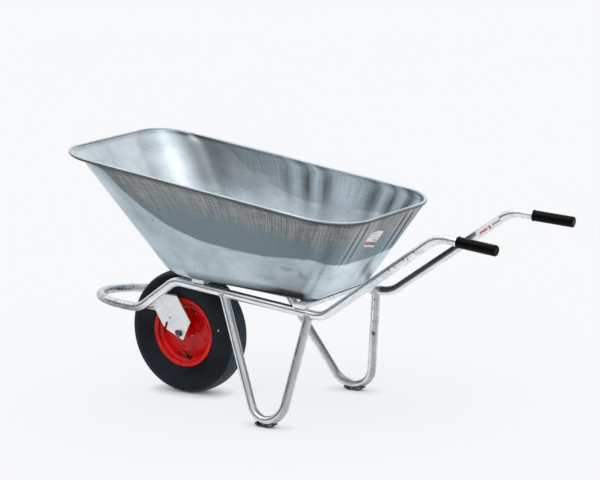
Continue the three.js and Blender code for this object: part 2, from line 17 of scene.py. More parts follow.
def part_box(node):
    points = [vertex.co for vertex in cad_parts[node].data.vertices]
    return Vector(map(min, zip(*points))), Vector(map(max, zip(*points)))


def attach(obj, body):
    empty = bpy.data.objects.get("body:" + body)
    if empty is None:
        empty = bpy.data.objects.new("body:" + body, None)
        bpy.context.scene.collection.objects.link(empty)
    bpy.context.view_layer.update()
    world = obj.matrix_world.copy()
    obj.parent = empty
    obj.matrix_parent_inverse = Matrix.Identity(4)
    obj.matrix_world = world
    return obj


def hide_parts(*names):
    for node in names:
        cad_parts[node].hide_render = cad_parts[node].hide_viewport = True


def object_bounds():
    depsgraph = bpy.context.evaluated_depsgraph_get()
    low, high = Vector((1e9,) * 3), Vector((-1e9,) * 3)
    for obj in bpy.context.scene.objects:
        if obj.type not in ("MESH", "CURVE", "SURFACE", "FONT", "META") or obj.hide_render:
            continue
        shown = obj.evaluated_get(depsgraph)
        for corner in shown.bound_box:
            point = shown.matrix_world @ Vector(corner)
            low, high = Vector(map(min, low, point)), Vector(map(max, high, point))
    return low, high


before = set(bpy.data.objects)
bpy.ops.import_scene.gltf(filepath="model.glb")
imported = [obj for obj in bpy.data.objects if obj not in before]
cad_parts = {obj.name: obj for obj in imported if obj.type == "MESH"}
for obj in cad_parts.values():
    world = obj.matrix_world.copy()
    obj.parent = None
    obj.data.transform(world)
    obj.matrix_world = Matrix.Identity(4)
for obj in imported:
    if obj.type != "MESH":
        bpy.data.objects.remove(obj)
cad_low, cad_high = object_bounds()

MM = 0.001
AXLE_LOW, AXLE_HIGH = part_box("axle")
AXLE = (AXLE_LOW + AXLE_HIGH) / 2
GROUND = cad_low.z
ACROSS = Vector((0, 1, 0))


def at(x, y, z):
    """A design point in millimetres, as a place in the row frame."""
    return Vector((AXLE.x + x * MM, y * MM, GROUND + z * MM))


# -------- materials


def rgb(red, green, blue):
    """A display colour as a linear one."""
    shares = [c / 255 for c in (red, green, blue)]
    return [s / 12.92 if s <= 0.04045 else ((s + 0.055) / 1.055) ** 2.4 for s in shares] + [1]


class Paint:
    """The nodes of a new material, or of the world, made one by one."""

    def __init__(self, name, world=None):
        owner = world or bpy.data.materials.new(name)
        owner.use_nodes = True
        self.owner = owner
        self.tree = owner.node_tree
        self.tree.nodes.clear()

    def node(self, kind, inputs, output=0, **settings):
        made = self.tree.nodes.new("ShaderNode" + kind)
        for key, value in settings.items():
            setattr(made, key, value)
        for key, value in inputs.items():
            if isinstance(value, bpy.types.NodeSocket):
                self.tree.links.new(value, made.inputs[key])
            else:
                made.inputs[key].default_value = value
        return made.outputs[output] if made.outputs else None

    def attribute(self, name, output="Fac"):
        return self.node("Attribute", {}, output, attribute_name=name)

    def place(self):
        return self.node("TexCoord", {}, "Object")

    def scaled(self, vector, scale):
        return self.node("VectorMath", {0: vector, 1: scale}, operation="MULTIPLY")

    def noise(self, vector, scale, detail=3.0, distortion=0.0):
        inputs = {"Vector": vector, "Scale": scale, "Detail": detail, "Distortion": distortion}
        return self.node("TexNoise", inputs, "Fac")

    def cells(self, vector, scale):
        colour = self.node("TexVoronoi", {"Vector": vector, "Scale": scale}, "Color")
        return self.node("SeparateColor", {"Color": colour}, 0)

    def math(self, operation, a, b=0.0):
        return self.node("Math", {0: a, 1: b}, operation=operation)

    def times(self, a, b):
        return self.math("MULTIPLY", a, b)

    def plus(self, a, b):
        return self.math("ADD", a, b)

    def less(self, a, b):
        return self.math("SUBTRACT", a, b)

    def span(self, value, low, high, start=0.0, end=1.0):
        inputs = {"Value": value, "From Min": low, "From Max": high, "To Min": start, "To Max": end}
        return self.node("MapRange", inputs, interpolation_type="SMOOTHSTEP")

    def mix(self, share, a, b):
        return self.node("Mix", {0: share, 6: a, 7: b}, 2, data_type="RGBA")

    def shade(self, colour, factor):
        """The colour made darker or lighter by a factor."""
        grey = self.node("CombineColor", {0: factor, 1: factor, 2: factor})
        inputs = {0: 1.0, 6: colour, 7: grey}
        return self.node("Mix", inputs, 2, data_type="RGBA", blend_type="MULTIPLY")

    def lines(self, value, width):
        """Thin lines where the value passes its middle."""
        off = self.math("ABSOLUTE", self.less(value, 0.5))
        return self.span(off, 0.0, width, 1.0, 0.0)

    def finish(self, colour, roughness, height=None, depth=0.0, **constants):
        inputs = {"Base Color": colour, "Roughness": roughness}
        if height is not None:
            bumped = self.node("Bump", {"Height": height, "Distance": depth, "Strength": 1.0})
            inputs["Normal"] = bumped
        for key, value in constants.items():
            inputs[key.replace("_", " ")] = value
        shader = self.node("BsdfPrincipled", inputs)
        self.node("OutputMaterial", {"Surface": shader})
        return self.owner


def galvanised(name, bright, dull, calm=None, grain=1.0, drips=0.5, specks=0.4, rough=(0.3, 0.16),
               spots_and_shades=(), metallic=0.94):
    """Hot-dip zinc: soft patches, long streaks, wandering drip lines and dark specks.

    With a calm colour, the mesh's own attributes say how rough the zinc lies and carry its painted light
    and shade.
    """
    p = Paint(name)
    zoned = calm is not None
    lay = p.attribute("lay", "Vector") if zoned else p.place()
    patches = p.noise(lay, 34 * grain, 4)
    streaks = p.noise(p.scaled(lay, (1, 1, 0.05)), 330 * grain, 2)
    spangle = p.cells(lay, 190 * grain)
    mixed = p.plus(p.times(patches, 0.5), p.times(streaks, 0.36))
    mixed = p.plus(mixed, p.times(spangle, 0.14))
    colour = p.mix(p.span(mixed, 0.34, 0.62), dull, bright)
    wander = p.lines(p.noise(lay, 62 * grain, 1.5, 1.2), 0.022)
    here = p.span(p.noise(lay, 9, 1), 0.46, 0.6)
    drip = p.times(p.times(wander, here), drips)
    speck = p.times(p.span(p.noise(lay, 520 * grain, 1), 0.64, 0.72), specks)
    marks = p.math("MAXIMUM", drip, speck)
    if zoned:
        rough_zone = p.attribute("raw")
        marks = p.times(marks, rough_zone)
        colour = p.mix(rough_zone, p.mix(p.span(streaks, 0.36, 0.64), calm, bright), colour)
        # Painted light and shade from the mesh's tone attribute.
        colour = p.shade(colour, p.attribute("tone"))
    colour = p.shade(colour, p.span(marks, 0.0, 1.0, 1.0, 0.32))
    # Real spots, and patches of painted shade on the bracket flanges.
    colour = marked_or_shaded(p, colour, [(*dab, SPOT_DEPTH) for dab in spots_and_shades])
    gloss = p.span(patches, 0.3, 0.7, *rough)
    relief = p.plus(p.times(p.noise(lay, 150 * grain, 3), 0.6), p.times(marks, 0.5))
    if zoned:
        relief = p.times(relief, p.plus(p.times(rough_zone, 0.85), 0.15))
    return p.finish(colour, gloss, relief, 0.0004, Metallic=metallic)


def patch_mask(p, place, middle, size):
    """A small ragged patch on a surface: 1 in its middle, 0 outside."""
    off = p.node("VectorMath", {0: place, 1: middle}, operation="SUBTRACT")
    off = p.scaled(off, [1 / (s * MM) for s in size])
    reach = p.node("VectorMath", {0: off}, "Value", operation="LENGTH")
    ragged = p.plus(reach, p.times(p.noise(place, 160, 3), 0.9))
    return p.span(ragged, 0.7, 1.3, 1.0, 0.0)


def marked_or_shaded(p, colour, marks):
    """The colour with ragged dark patches, real marks and painted shade alike, each with a middle, a size
    and a darkness.
    """
    for middle, size, depth in marks:
        dark = p.times(patch_mask(p, p.place(), at(*middle), size), depth)
        colour = p.shade(colour, p.less(1.0, dark))
    return colour


def tub_steel():
    """Drawn sheet: smooth and light at the bottom, streaked and darker above the draw line."""
    p = Paint("tub_steel")
    lay = p.attribute("lay", "Vector")
    zone = p.attribute("zone")
    inside = p.attribute("inside")
    height = p.times(p.node("SeparateXYZ", {0: lay}, 2), 1 / WALL_RUN)
    wave = p.times(p.less(p.noise(lay, 9, 1), 0.5), 0.016)
    drawn = p.span(p.plus(zone, wave), -0.012, 0.012)
    up = p.noise(p.scaled(lay, (1, 1, 0.03)), 420, 3)
    along = p.noise(p.scaled(lay, (0.04, 0.04, 1)), 380, 2)
    cloud = p.noise(lay, 8, 3)
    weave = p.plus(p.times(up, 0.68), p.times(along, 0.32))
    near_rim = p.span(p.plus(height, p.times(cloud, 0.3)), 0.72, 1.06, 0.1, 1.0)
    streaks = p.times(p.less(weave, 0.5), near_rim)
    share = p.span(p.plus(streaks, 0.5), 0.32, 0.68)
    cool = p.mix(share, rgb(84, 104, 112), rgb(132, 148, 156))
    warm = p.mix(share, rgb(84, 90, 93), rgb(166, 167, 166))
    streaked = p.mix(near_rim, cool, warm)
    # The inside copies are lighter than the outside ones: painted light on the face that looks up into the
    # studio.
    streaked_in = p.mix(share, rgb(138, 155, 164), rgb(190, 202, 208))
    upper = p.mix(inside, streaked, streaked_in)
    broad = p.noise(p.scaled(lay, (1, 1, 1.7)), 7, 3, 0.4)
    lower = p.mix(p.span(broad, 0.3, 0.7), rgb(166, 182, 190), rgb(190, 202, 207))
    lower_in = p.mix(p.span(broad, 0.3, 0.7), rgb(188, 200, 207), rgb(214, 223, 228))
    lower = p.mix(inside, lower, lower_in)
    scuffs = p.times(p.lines(p.noise(p.scaled(lay, (1, 1, 2.4)), 13, 5, 0.8), 0.014), 0.16)
    lower = p.shade(lower, p.less(1.0, scuffs))
    # Painted light and shade from the tone attribute, then marks and patches of painted shade.
    colour = p.shade(p.mix(drawn, lower, upper), p.attribute("tone"))
    colour = marked_or_shaded(p, colour, TUB_MARKS_AND_SHADES)
    rough = p.plus(p.times(drawn, 0.08), p.span(cloud, 0.3, 0.7, 0.26, 0.34))
    relief = p.plus(p.times(p.times(up, drawn), 0.4), p.times(broad, 0.5))
    return p.finish(colour, rough, relief, 0.0006, Metallic=0.86)


def red_paint():
    """Gloss paint with a thin orange peel, dust in the dish and a few chips."""
    p = Paint("red_gloss")
    place = p.place()
    dust = p.noise(place, 24, 4)
    colour = p.mix(p.span(dust, 0.35, 0.7), rgb(186, 10, 12), rgb(228, 24, 20))
    chips = p.span(p.noise(place, 300, 2), 0.73, 0.76)
    colour = p.mix(chips, colour, rgb(216, 190, 184))
    rough = p.span(dust, 0.3, 0.75, 0.16, 0.34)
    return p.finish(colour, rough, p.noise(place, 260, 2), 0.0002, Specular_IOR_Level=0.18,
                    Coat_Weight=0.16, Coat_Roughness=0.08)


def rubber(name, dark, light, grain=420, rough=(0.42, 0.62), gloss=0.16, worn_or_sheen=None, dab=None):
    """Moulded rubber with bloom, fine grain and faint scuffs, pale with dust and painted sheen and spotted
    where asked.
    """
    p = Paint(name)
    place = p.place()
    bloom = p.noise(place, 11, 4)
    scuff = p.times(p.span(p.noise(place, 210, 2), 0.66, 0.74), 0.35)
    colour = p.mix(p.plus(p.span(bloom, 0.35, 0.7), scuff), dark, light)
    if worn_or_sheen:
        share = p.times(p.attribute("worn_or_sheen"), p.span(bloom, 0.2, 0.7, 0.5, 1.0))
        colour = p.mix(share, colour, worn_or_sheen)
    if dab:
        colour = p.mix(patch_mask(p, place, at(*dab[0]), dab[1]), colour, rgb(206, 200, 180))
    relief = p.plus(p.noise(place, grain, 2), p.times(bloom, 0.5))
    return p.finish(colour, p.span(bloom, 0.3, 0.7, *rough), relief, 0.0003, Specular_IOR_Level=gloss)


def plain_metal(name, bright, dull, rough, metallic=0.9, grain=1.0):
    """Plated or bare metal with fine turning marks and stains."""
    p = Paint(name)
    place = p.place()
    stain = p.noise(place, 130 * grain, 4)
    fine = p.noise(p.scaled(place, (1, 0.12, 1)), 900 * grain, 2)
    mixed = p.plus(p.times(stain, 0.7), p.times(fine, 0.3))
    colour = p.mix(p.span(mixed, 0.36, 0.64), dull, bright)
    gloss = p.span(stain, 0.3, 0.7, rough - 0.08, rough + 0.1)
    return p.finish(colour, gloss, fine, 0.0002, Metallic=metallic)


def printed(name, blocks, ground):
    """A printed film: blocks of colour between given shares of its width and height."""
    p = Paint(name)
    lay = p.attribute("lay", "Vector")
    parts = [p.node("SeparateXYZ", {0: lay}, i) for i in (0, 1)]
    colour = ground
    for (left, right, low, high), ink in blocks:
        inside = None
        for value, start, end in ((parts[0], left, right), (parts[1], low, high)):
            edges = p.times(p.span(value, start - 0.01, start + 0.01),
                           p.span(value, end - 0.01, end + 0.01, 1.0, 0.0))
            inside = edges if inside is None else p.times(inside, edges)
        colour = p.mix(inside, colour, ink)
    worn_or_sheen = p.noise(p.place(), 240, 3)
    colour = p.shade(colour, p.span(worn_or_sheen, 0.25, 0.6, 0.9, 1.0))
    return p.finish(colour, p.span(worn_or_sheen, 0.3, 0.7, 0.3, 0.42), worn_or_sheen, 0.0001)


WALL_RUN = 0.36  # height of the wall in its lay, from the floor to the rim
SPOT_DEPTH = 0.8
# Dark patches on the outside of the tub, the two small deep ones marks and the broad faint ones low on the
# near side painted shade: middle, size and darkness. Spots on the tubes: middle and size.
TUB_MARKS_AND_SHADES = [((38, -237, 598), (9, 30, 2.4), 0.85), ((690, -20, 520), (30, 22, 3), 0.85),
             ((515, -215, 486), (44, 40, 12), 0.26), ((566, -206, 470), (20, 40, 24), 0.26),
             ((430, -205, 450), (70, 40, 14), 0.12), ((298, -222, 527), (80, 40, 4), 0.2)]
TUBE_SPOTS = [((556, 212, 203), (11, 12, 14)), ((561, 206, 246), (9, 9, 8)), ((577, 184, 318), (6, 9, 7)),
              ((884, -227, 521), (8, 10, 3)), ((902, -228, 531), (4, 10, 8)), ((934, -230, 557), (8, 9, 4)),
              ((950, -230, 562), (3, 10, 9)), ((972, -231, 583), (8, 9, 4)), ((268, -222, 190), (5, 9, 12))]
# Painted shade on the folded flanges of the axle brackets.
PAINTED_FLANGE_SHADES = [((-96, -84, 283), (22, 44, 13)), ((-96, 84, 283), (22, 44, 13))]
TUBE = galvanised("galvanised_tube", rgb(244, 248, 250), rgb(184, 194, 200), rgb(216, 224, 228),
                  drips=0.9, specks=0.9, spots_and_shades=TUBE_SPOTS)
PLATE = galvanised("galvanised_plate", rgb(250, 252, 253), rgb(234, 238, 240), grain=1.4, drips=0.25,
                   rough=(0.56, 0.46), metallic=0.35, spots_and_shades=PAINTED_FLANGE_SHADES)
# Darker zinc for the front cross-member: painted shade under the tub.
UNDER_SHADED = galvanised("galvanised_under", rgb(176, 183, 187), rgb(112, 119, 124), grain=1.2, rough=(0.5, 0.4))
WELD = galvanised("galvanised_weld", rgb(226, 229, 230), rgb(150, 156, 160), grain=2.2, specks=0.6)
# Dark zinc for the foot plates: painted shade under the legs.
FOOT_SHADED = galvanised("galvanised_foot", rgb(120, 124, 126), rgb(44, 48, 50), grain=1.2, specks=0.7)
SHEET = tub_steel()
RED = red_paint()
# The tread ribs go pale with dust and painted sheen.
TYRE = rubber("tyre_rubber", rgb(5, 11, 16), rgb(22, 32, 40), worn_or_sheen=rgb(72, 84, 92),
              dab=((145, -49.5, 223), (5, 6, 5)))
BUTYL = rubber("butyl_rubber", rgb(12, 12, 13), rgb(28, 29, 31), 700, (0.3, 0.45), 0.2)
GRIP = rubber("grip_plastic", rgb(1, 2, 3), rgb(5, 6, 8), 900, (0.12, 0.2), 0.07)
ZINC = plain_metal("zinc_plate", rgb(232, 235, 235), rgb(176, 180, 181), 0.32)
STEEL = plain_metal("dark_steel", rgb(112, 115, 116), rgb(46, 48, 50), 0.42)
BRASS = plain_metal("brass", rgb(160, 128, 76), rgb(92, 68, 36), 0.3)
BUSH = rubber("bush_plastic", rgb(26, 27, 29), rgb(44, 46, 48), 600, (0.3, 0.4))


# -------- mesh helpers


def piece(name, verts, faces, material, body, replaced=(), attributes=None, crease=38):
    """A new mesh object in the row frame that rides on a body and may stand for CAD nodes."""
    mesh = bpy.data.meshes.new(name)
    mesh.from_pydata([tuple(v) for v in verts], [], faces)
    mesh.materials.append(material)
    for key, values in (attributes or {}).items():
        values = np.asarray(values, np.float32)
        kind = "FLOAT_VECTOR" if values.ndim == 2 else "FLOAT"
        layer = mesh.attributes.new(key, kind, "POINT")
        layer.data.foreach_set("vector" if values.ndim == 2 else "value", values.ravel())
    work = bmesh.new()
    work.from_mesh(mesh)
    bmesh.ops.recalc_face_normals(work, faces=work.faces)
    work.to_mesh(mesh)
    work.free()
    mesh.polygons.foreach_set("use_smooth", [True] * len(mesh.polygons))
    mesh.set_sharp_from_angle(angle=math.radians(crease))
    obj = bpy.data.objects.new(name, mesh)
    bpy.context.scene.collection.objects.link(obj)
    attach(obj, body)
    if replaced:
        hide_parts(*replaced)
    return obj


def grid_faces(rows, columns, wrap_rows=False, wrap_columns=True):
    """Quads between the rings of a grid whose vertices run ring by ring."""
    faces = []
    for i in range(rows if wrap_rows else rows - 1):
        for j in range(columns if wrap_columns else columns - 1):
            a, b = i * columns, ((i + 1) % rows) * columns
            k = (j + 1) % columns
            faces.append([a + j, a + k, b + k, b + j])
    return faces


def side_axes(axis):
    """Two unit vectors square to an axis and to each other."""
    other = Vector((0, 0, 1)) if abs(axis.z) < 0.9 else Vector((1, 0, 0))
    first = axis.cross(other).normalized()
    return first, axis.cross(first).normalized()


def sweep(path, radii, sides, closed=False):
    """Rings round a path, carried along it without twist: vertices, faces and the lay of the metal."""
    count = len(path)
    tangents = []
    for i in range(count):
        before = path[i - 1] if i or closed else path[i]
        after = path[(i + 1) % count] if closed or i < count - 1 else path[i]
        tangents.append((after - before).normalized())
    first, _ = side_axes(tangents[0])
    verts, lay, run = [], [], 0.0
    for i, (point, tangent) in enumerate(zip(path, tangents)):
        first = (first - tangent * first.dot(tangent)).normalized()
        second = tangent.cross(first)
        run += (point - path[i - 1]).length if i else 0.0
        radius = radii[i] if isinstance(radii, list) else radii
        for j in range(sides):
            angle = 2 * math.pi * j / sides
            out = first * math.cos(angle) + second * math.sin(angle)
            verts.append(point + out * radius)
            lay.append((radius * math.cos(angle), radius * math.sin(angle), run))
    faces = grid_faces(count, sides, wrap_rows=closed)
    if not closed:
        faces += [list(range(sides)), [(count - 1) * sides + j for j in range(sides)]]
    return verts, faces, lay


def turned(profile, origin, axis, steps=64, closed=True):
    """A profile of (radius, distance along the axis) in millimetres, turned round the axis."""
    first, second = side_axes(axis)
    verts, rings = [], []
    for radius, along in profile:
        centre = origin + axis * (along * MM)
        if radius < 1e-6:
            rings.append([len(verts)] * steps)
            verts.append(centre)
            continue
        rings.append(list(range(len(verts), len(verts) + steps)))
        for j in range(steps):
            angle = 2 * math.pi * j / steps
            verts.append(centre + (first * math.cos(angle) + second * math.sin(angle)) * (radius * MM))
    faces = []
    count = len(rings)
    for i in range(count if closed else count - 1):
        a, b = rings[i], rings[(i + 1) % count]
        for j in range(steps):
            k = (j + 1) % steps
            face = []
            for vertex in (a[j], a[k], b[k], b[j]):
                if vertex not in face:
                    face.append(vertex)
            if len(face) > 2:
                faces.append(face)
    return verts, faces


def smooth_line(points, steps):
    """A smooth line through 2-D points, with a number of steps between each two."""
    pts = [np.array(p, float) for p in points]
    line = []
    for i in range(len(pts) - 1):
        a, b = pts[max(i - 1, 0)], pts[i]
        c, d = pts[i + 1], pts[min(i + 2, len(pts) - 1)]
        for k in range(steps):
            t = k / steps
            line.append(0.5 * (2 * b + (c - a) * t + (2 * a - 5 * b + 4 * c - d) * t**2
                               + (3 * b - a - 3 * c + d) * t**3))
    line.append(pts[-1])
    return line


def bend(before, corner, after, radius, steps):
    """Points of a round bend at a corner."""
    into = (corner - before).normalized()
    out = (after - corner).normalized()
    half = into.angle(out) / 2
    reach = radius * math.tan(half)
    inward = (out - into).normalized()
    centre = corner + inward * (radius / math.cos(half))
    start = corner - into * reach
    turn = Matrix.Rotation(2 * half / steps, 3, into.cross(out).normalized())
    arm = start - centre
    points = [start]
    for _ in range(steps):
        arm = turn @ arm
        points.append(centre + arm)
    return points


def mirrored(point):
    return Vector((point.x, -point.y, point.z))


# -------- frame, legs and grips

TUBE_RADIUS = 14
TUBE_SIDES = 32
TUBE_INSET = 8  # from a handle's end to the end of the tube in its grip
HANDLE_END = at(1250, 240.5, 613.2)
HANDLE_BEND = at(1046.6, 223.8, 631.8)
RAIL_REAR_X, RAIL_FRONT_X = 631.8, 36.6
HOOP_HALF = 123.3  # half the width of the frame at the hoop
RAIL_REAR = at(RAIL_REAR_X, 200.9, 347.2)
RAIL_FRONT = at(RAIL_FRONT_X, HOOP_HALF, 388.4)
HOOP_FOOT = (-104.3, HOOP_HALF, 286.5)
HOOP_CENTRE_X = -136
HOOP_LENGTH = 193.6
HOOP_RISE = 10
HOOP_STEPS = 60
HANDLE_RADIUS, REAR_RADIUS, FRONT_RADIUS = 105, 90, 80  # bends of the frame tube
BEND_STEPS = 14
LEG_SHARES = (0.339, 0.913)  # where a leg's limbs meet the rail, from its front to its rear
LEG_CORNER = at(481.9, 292.4, -127)
LEG_RADIUS, LEG_STEPS = 70, 24
LEG_TUCK = 5  # from the middle of the rail to the end of a leg
LEG_RAWNESS = {"right": 0.6, "left": 0.2}
GRIP_RADIUS = 16.8
GRIP_LENGTH = 133


def hoop_height(x):
    return HOOP_FOOT[2] + HOOP_RISE * (HOOP_FOOT[0] - x) / (HOOP_FOOT[0] - HOOP_CENTRE_X + HOOP_LENGTH)


def frame_route():
    """Centre line of the one bent tube, from the right handle round the hoop to the left one."""
    foot = at(*HOOP_FOOT)
    hoop_start = at(HOOP_CENTRE_X, HOOP_FOOT[1], hoop_height(HOOP_CENTRE_X))
    inward = (HANDLE_BEND - HANDLE_END).normalized()
    right = [HANDLE_END + inward * (TUBE_INSET * MM)]
    right += bend(HANDLE_END, HANDLE_BEND, RAIL_REAR, HANDLE_RADIUS * MM, BEND_STEPS)
    right += bend(HANDLE_BEND, RAIL_REAR, RAIL_FRONT, REAR_RADIUS * MM, BEND_STEPS)
    right += bend(RAIL_REAR, RAIL_FRONT, foot, FRONT_RADIUS * MM, BEND_STEPS)
    right += bend(RAIL_FRONT, foot, hoop_start, FRONT_RADIUS * MM, BEND_STEPS)
    hoop = []
    for i in range(HOOP_STEPS + 1):
        angle = math.pi * i / HOOP_STEPS
        x = HOOP_CENTRE_X - HOOP_LENGTH * math.sin(angle)
        hoop.append(at(x, HOOP_FOOT[1] * math.cos(angle), hoop_height(x)))
    return right + hoop + [mirrored(p) for p in reversed(right)]


def fill_route(route, spacing):
    """The route with points added where they are far apart."""
    filled = []
    for a, b in zip(route, route[1:]):
        count = max(1, round((b - a).length / spacing))
        filled += [a.lerp(b, k / count) for k in range(count)]
    return filled + [route[-1]]


def leg_route():
    """Centre line of the right leg, from the rail down to its foot and up again."""
    front = RAIL_FRONT.lerp(RAIL_REAR, LEG_SHARES[0])
    rear = RAIL_FRONT.lerp(RAIL_REAR, LEG_SHARES[1])
    middle = bend(front, LEG_CORNER, rear, LEG_RADIUS * MM, LEG_STEPS)
    start = front + (middle[0] - front).normalized() * (LEG_TUCK * MM)
    end = rear + (middle[-1] - rear).normalized() * (LEG_TUCK * MM)
    return [start, *middle, end]


def rawness(point):
    """How rough the zinc lies: most on the hoop and the handles, least on the rails."""
    x = (point.x - AXLE.x) / MM
    return max(0.12, min(1.0, (-60 - x) / 60), min(0.75, (x - 700) / 160))


def ease(value, low, high):
    """0 below low, 1 above high and a smooth climb between."""
    share = max(0.0, min(1.0, (value - low) / (high - low)))
    return share * share * (3 - 2 * share)


def frame_painted_shade(point, out):
    """Painted shade on the tops of the rails under the tub and on the hoop, and a painted dark reflection
    on the upper inner side of the right handle.
    """
    x, y = (point.x - AXLE.x) / MM, point.y / MM
    facing = out.dot(Vector((0, -0.35 if y > 0 else 0.35, 0.94)))
    tone = 1.0 - 0.2 * ease(-x, 60, 120)
    tone -= 0.7 * ease(out.z, 0.74, 0.88) * ease(x, 130, 170) * (1 - ease(x, 540, 580))
    if y > 0:
        tone -= 0.9 * ease(facing, 0.0, 0.25) * ease(x, 578, 600) * (1 - ease(x, 880, 980))
        tone -= 0.76 * ease(facing, 0.0, 0.4) * ease(-x, 110, 150) * (1 - ease(-x, 200, 260))
    else:
        tone -= 0.46 * ease(-facing, -0.1, 0.6) * ease(-x, 60, 120)
    return tone


def leg_painted_light(point, out):
    """Painted light along the front of a leg and painted shade behind, with a lighter painted line along
    its back.
    """
    return 1.0 - 0.44 * ease(out.x, 0.0, 0.3) + 0.3 * ease(out.x, 0.9, 1.0)


def tube(name, route, replaced, shading, raw=None):
    """A bent tube with its painted light and shade from shading, and as rough as raw says or else rawness.
    """
    route = fill_route(route, 25 * MM)
    verts, faces, lay = sweep(route, TUBE_RADIUS * MM, TUBE_SIDES)
    centres = [p for p in route for _ in range(TUBE_SIDES)]
    levels = [rawness(c) if raw is None else raw for c in centres]
    tones = [shading(c, (v - c).normalized()) for c, v in zip(centres, verts)]
    layers = {"lay": lay, "raw": levels, "tone": tones}
    return piece(name, verts, faces, TUBE, "barrow", [replaced], layers)


def saddle(rail_point, rail_direction, leg_direction, rail_radius, leg_radius):
    """The closed line where a round leg meets a round rail."""
    first, second = side_axes(leg_direction)
    flat = leg_direction - rail_direction * leg_direction.dot(rail_direction)
    line = []
    steps = 40
    for i in range(steps):
        angle = 2 * math.pi * i / steps
        arm = (first * math.cos(angle) + second * math.sin(angle)) * leg_radius
        level = arm - rail_direction * arm.dot(rail_direction)
        a, b, c = flat.dot(flat), 2 * level.dot(flat), level.dot(level) - rail_radius**2
        reach = (-b + math.sqrt(max(b * b - 4 * a * c, 0))) / (2 * a)
        line.append(rail_point + arm + leg_direction * reach)
    return line


def weld(name, line, radius, seed, closed=True):
    """A rippled bead of weld metal along a line."""
    rng = random.Random(seed)
    radii = []
    for i in range(len(line)):
        ends = 1.0 if closed else min(1.0, 0.4 + 3.0 * min(i, len(line) - 1 - i) / len(line))
        radii.append(radius * MM * ends * (1 + 0.16 * math.sin(i * 1.9) + rng.uniform(-0.12, 0.12)))
    verts, faces, _ = sweep(line, radii, 12, closed)
    return piece(name, verts, faces, WELD, "barrow", crease=60)


def grip(side):
    """A moulded sleeve with a rounded end, a finger ring and fine ribs."""
    end = mirrored(HANDLE_END) if side == "left" else HANDLE_END
    corner = mirrored(HANDLE_BEND) if side == "left" else HANDLE_BEND
    axis = (corner - end).normalized()
    outside = smooth_line([(0, 0.6), (9, 0), (14.2, 0.8), (16.3, 3), (GRIP_RADIUS, 7)], 5)
    profile = [tuple(p) for p in outside]
    for k in range(25):
        along = 8 + k * (GRIP_LENGTH - 18) / 24
        profile += [(GRIP_RADIUS, along), (GRIP_RADIUS - 0.25, along + 2.2)]
    profile += [(GRIP_RADIUS, GRIP_LENGTH - 5), (17.6, GRIP_LENGTH - 4), (17.8, GRIP_LENGTH - 2),
                (17.4, GRIP_LENGTH - 0.3), (14.4, GRIP_LENGTH), (14.1, GRIP_LENGTH - 1), (14.1, 7), (0, 7)]
    verts, faces = turned(profile, end, axis, 64, closed=False)
    name = f"grip_{side}"
    return piece(f"{name}_sleeve", verts, faces, GRIP, "barrow", [name], crease=60)


def build_frame():
    tube("bent_frame", frame_route(), "frame_tube", frame_painted_shade)
    route = leg_route()
    rail = (RAIL_REAR - RAIL_FRONT).normalized()
    for side in ("right", "left"):
        flip = mirrored if side == "left" else (lambda v: v)
        limb = [flip(p) for p in route]
        tube(f"leg_{side}_tube", limb, f"leg_{side}", leg_painted_light, LEG_RAWNESS[side])
        grip(side)
        for end, (place, share) in enumerate(zip((route[0], route[-1]), LEG_SHARES)):
            down = (route[1] - route[0]) if end == 0 else (route[-2] - route[-1])
            line = saddle(RAIL_FRONT.lerp(RAIL_REAR, share), rail, down.normalized(),
                          TUBE_RADIUS * MM, (TUBE_RADIUS + 1) * MM)
            weld(f"weld_leg_{side}_{end + 1}", [flip(p) for p in line], 2.6, 11 + end)


build_frame()

# -------- CAD nodes that stay


def keep(node, material, bevel=0.6):
    """A carried-over CAD node with rounded edges and a better material."""
    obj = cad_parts[node]
    obj.data.materials.clear()
    obj.data.materials.append(material)
    rounding = obj.modifiers.new("edges", "BEVEL")
    rounding.width = bevel * MM
    rounding.segments = 2
    rounding.limit_method = "ANGLE"
    rounding.angle_limit = math.radians(40)
    rounding.use_clamp_overlap = True


for side in ("right", "left"):
    keep(f"axle_bracket_{side}", PLATE, 0.8)
    keep(f"foot_plate_{side}", FOOT_SHADED, 0.8)
    keep(f"axle_nut_{side}", STEEL, 0.5)
keep("front_crossmember", UNDER_SHADED, 0.7)
keep("rear_crossmember", PLATE, 0.7)
for number in range(1, 5):
    keep(f"tub_washer_{number}", ZINC, 0.3)
    keep(f"tub_nut_{number}", ZINC, 0.5)
keep("inner_tube", BUTYL, 0.1)

# -------- tub

RAIL_SLOPE = (RAIL_REAR.z - RAIL_FRONT.z) / (RAIL_REAR.x - RAIL_FRONT.x)
RAIL_ANGLE = math.atan(-RAIL_SLOPE)
RAIL_TOP = (RAIL_FRONT.z - GROUND) / MM - RAIL_SLOPE * RAIL_FRONT_X + TUBE_RADIUS / math.cos(RAIL_ANGLE)
CROSS_HEIGHT = 12
BASE_Z = RAIL_TOP + (CROSS_HEIGHT + 0.6) / math.cos(RAIL_ANGLE)
RIM_Z = 755
RIM_SLOPE = -0.147
SHEET_THICKNESS = 1.2
CURL = 5.6
CORNER = 32  # from the edge of the floor to each end of the bend into the wall
CORNER_SHARE = 0.05  # height share at the top of that bend
FLOOR_STEPS = (0.04, 0.3, 0.55, 0.8, 0.93)  # rings of the floor, from its middle to its edge
LIP_START = 0.93  # height share where the wall turns to the shape of the rim
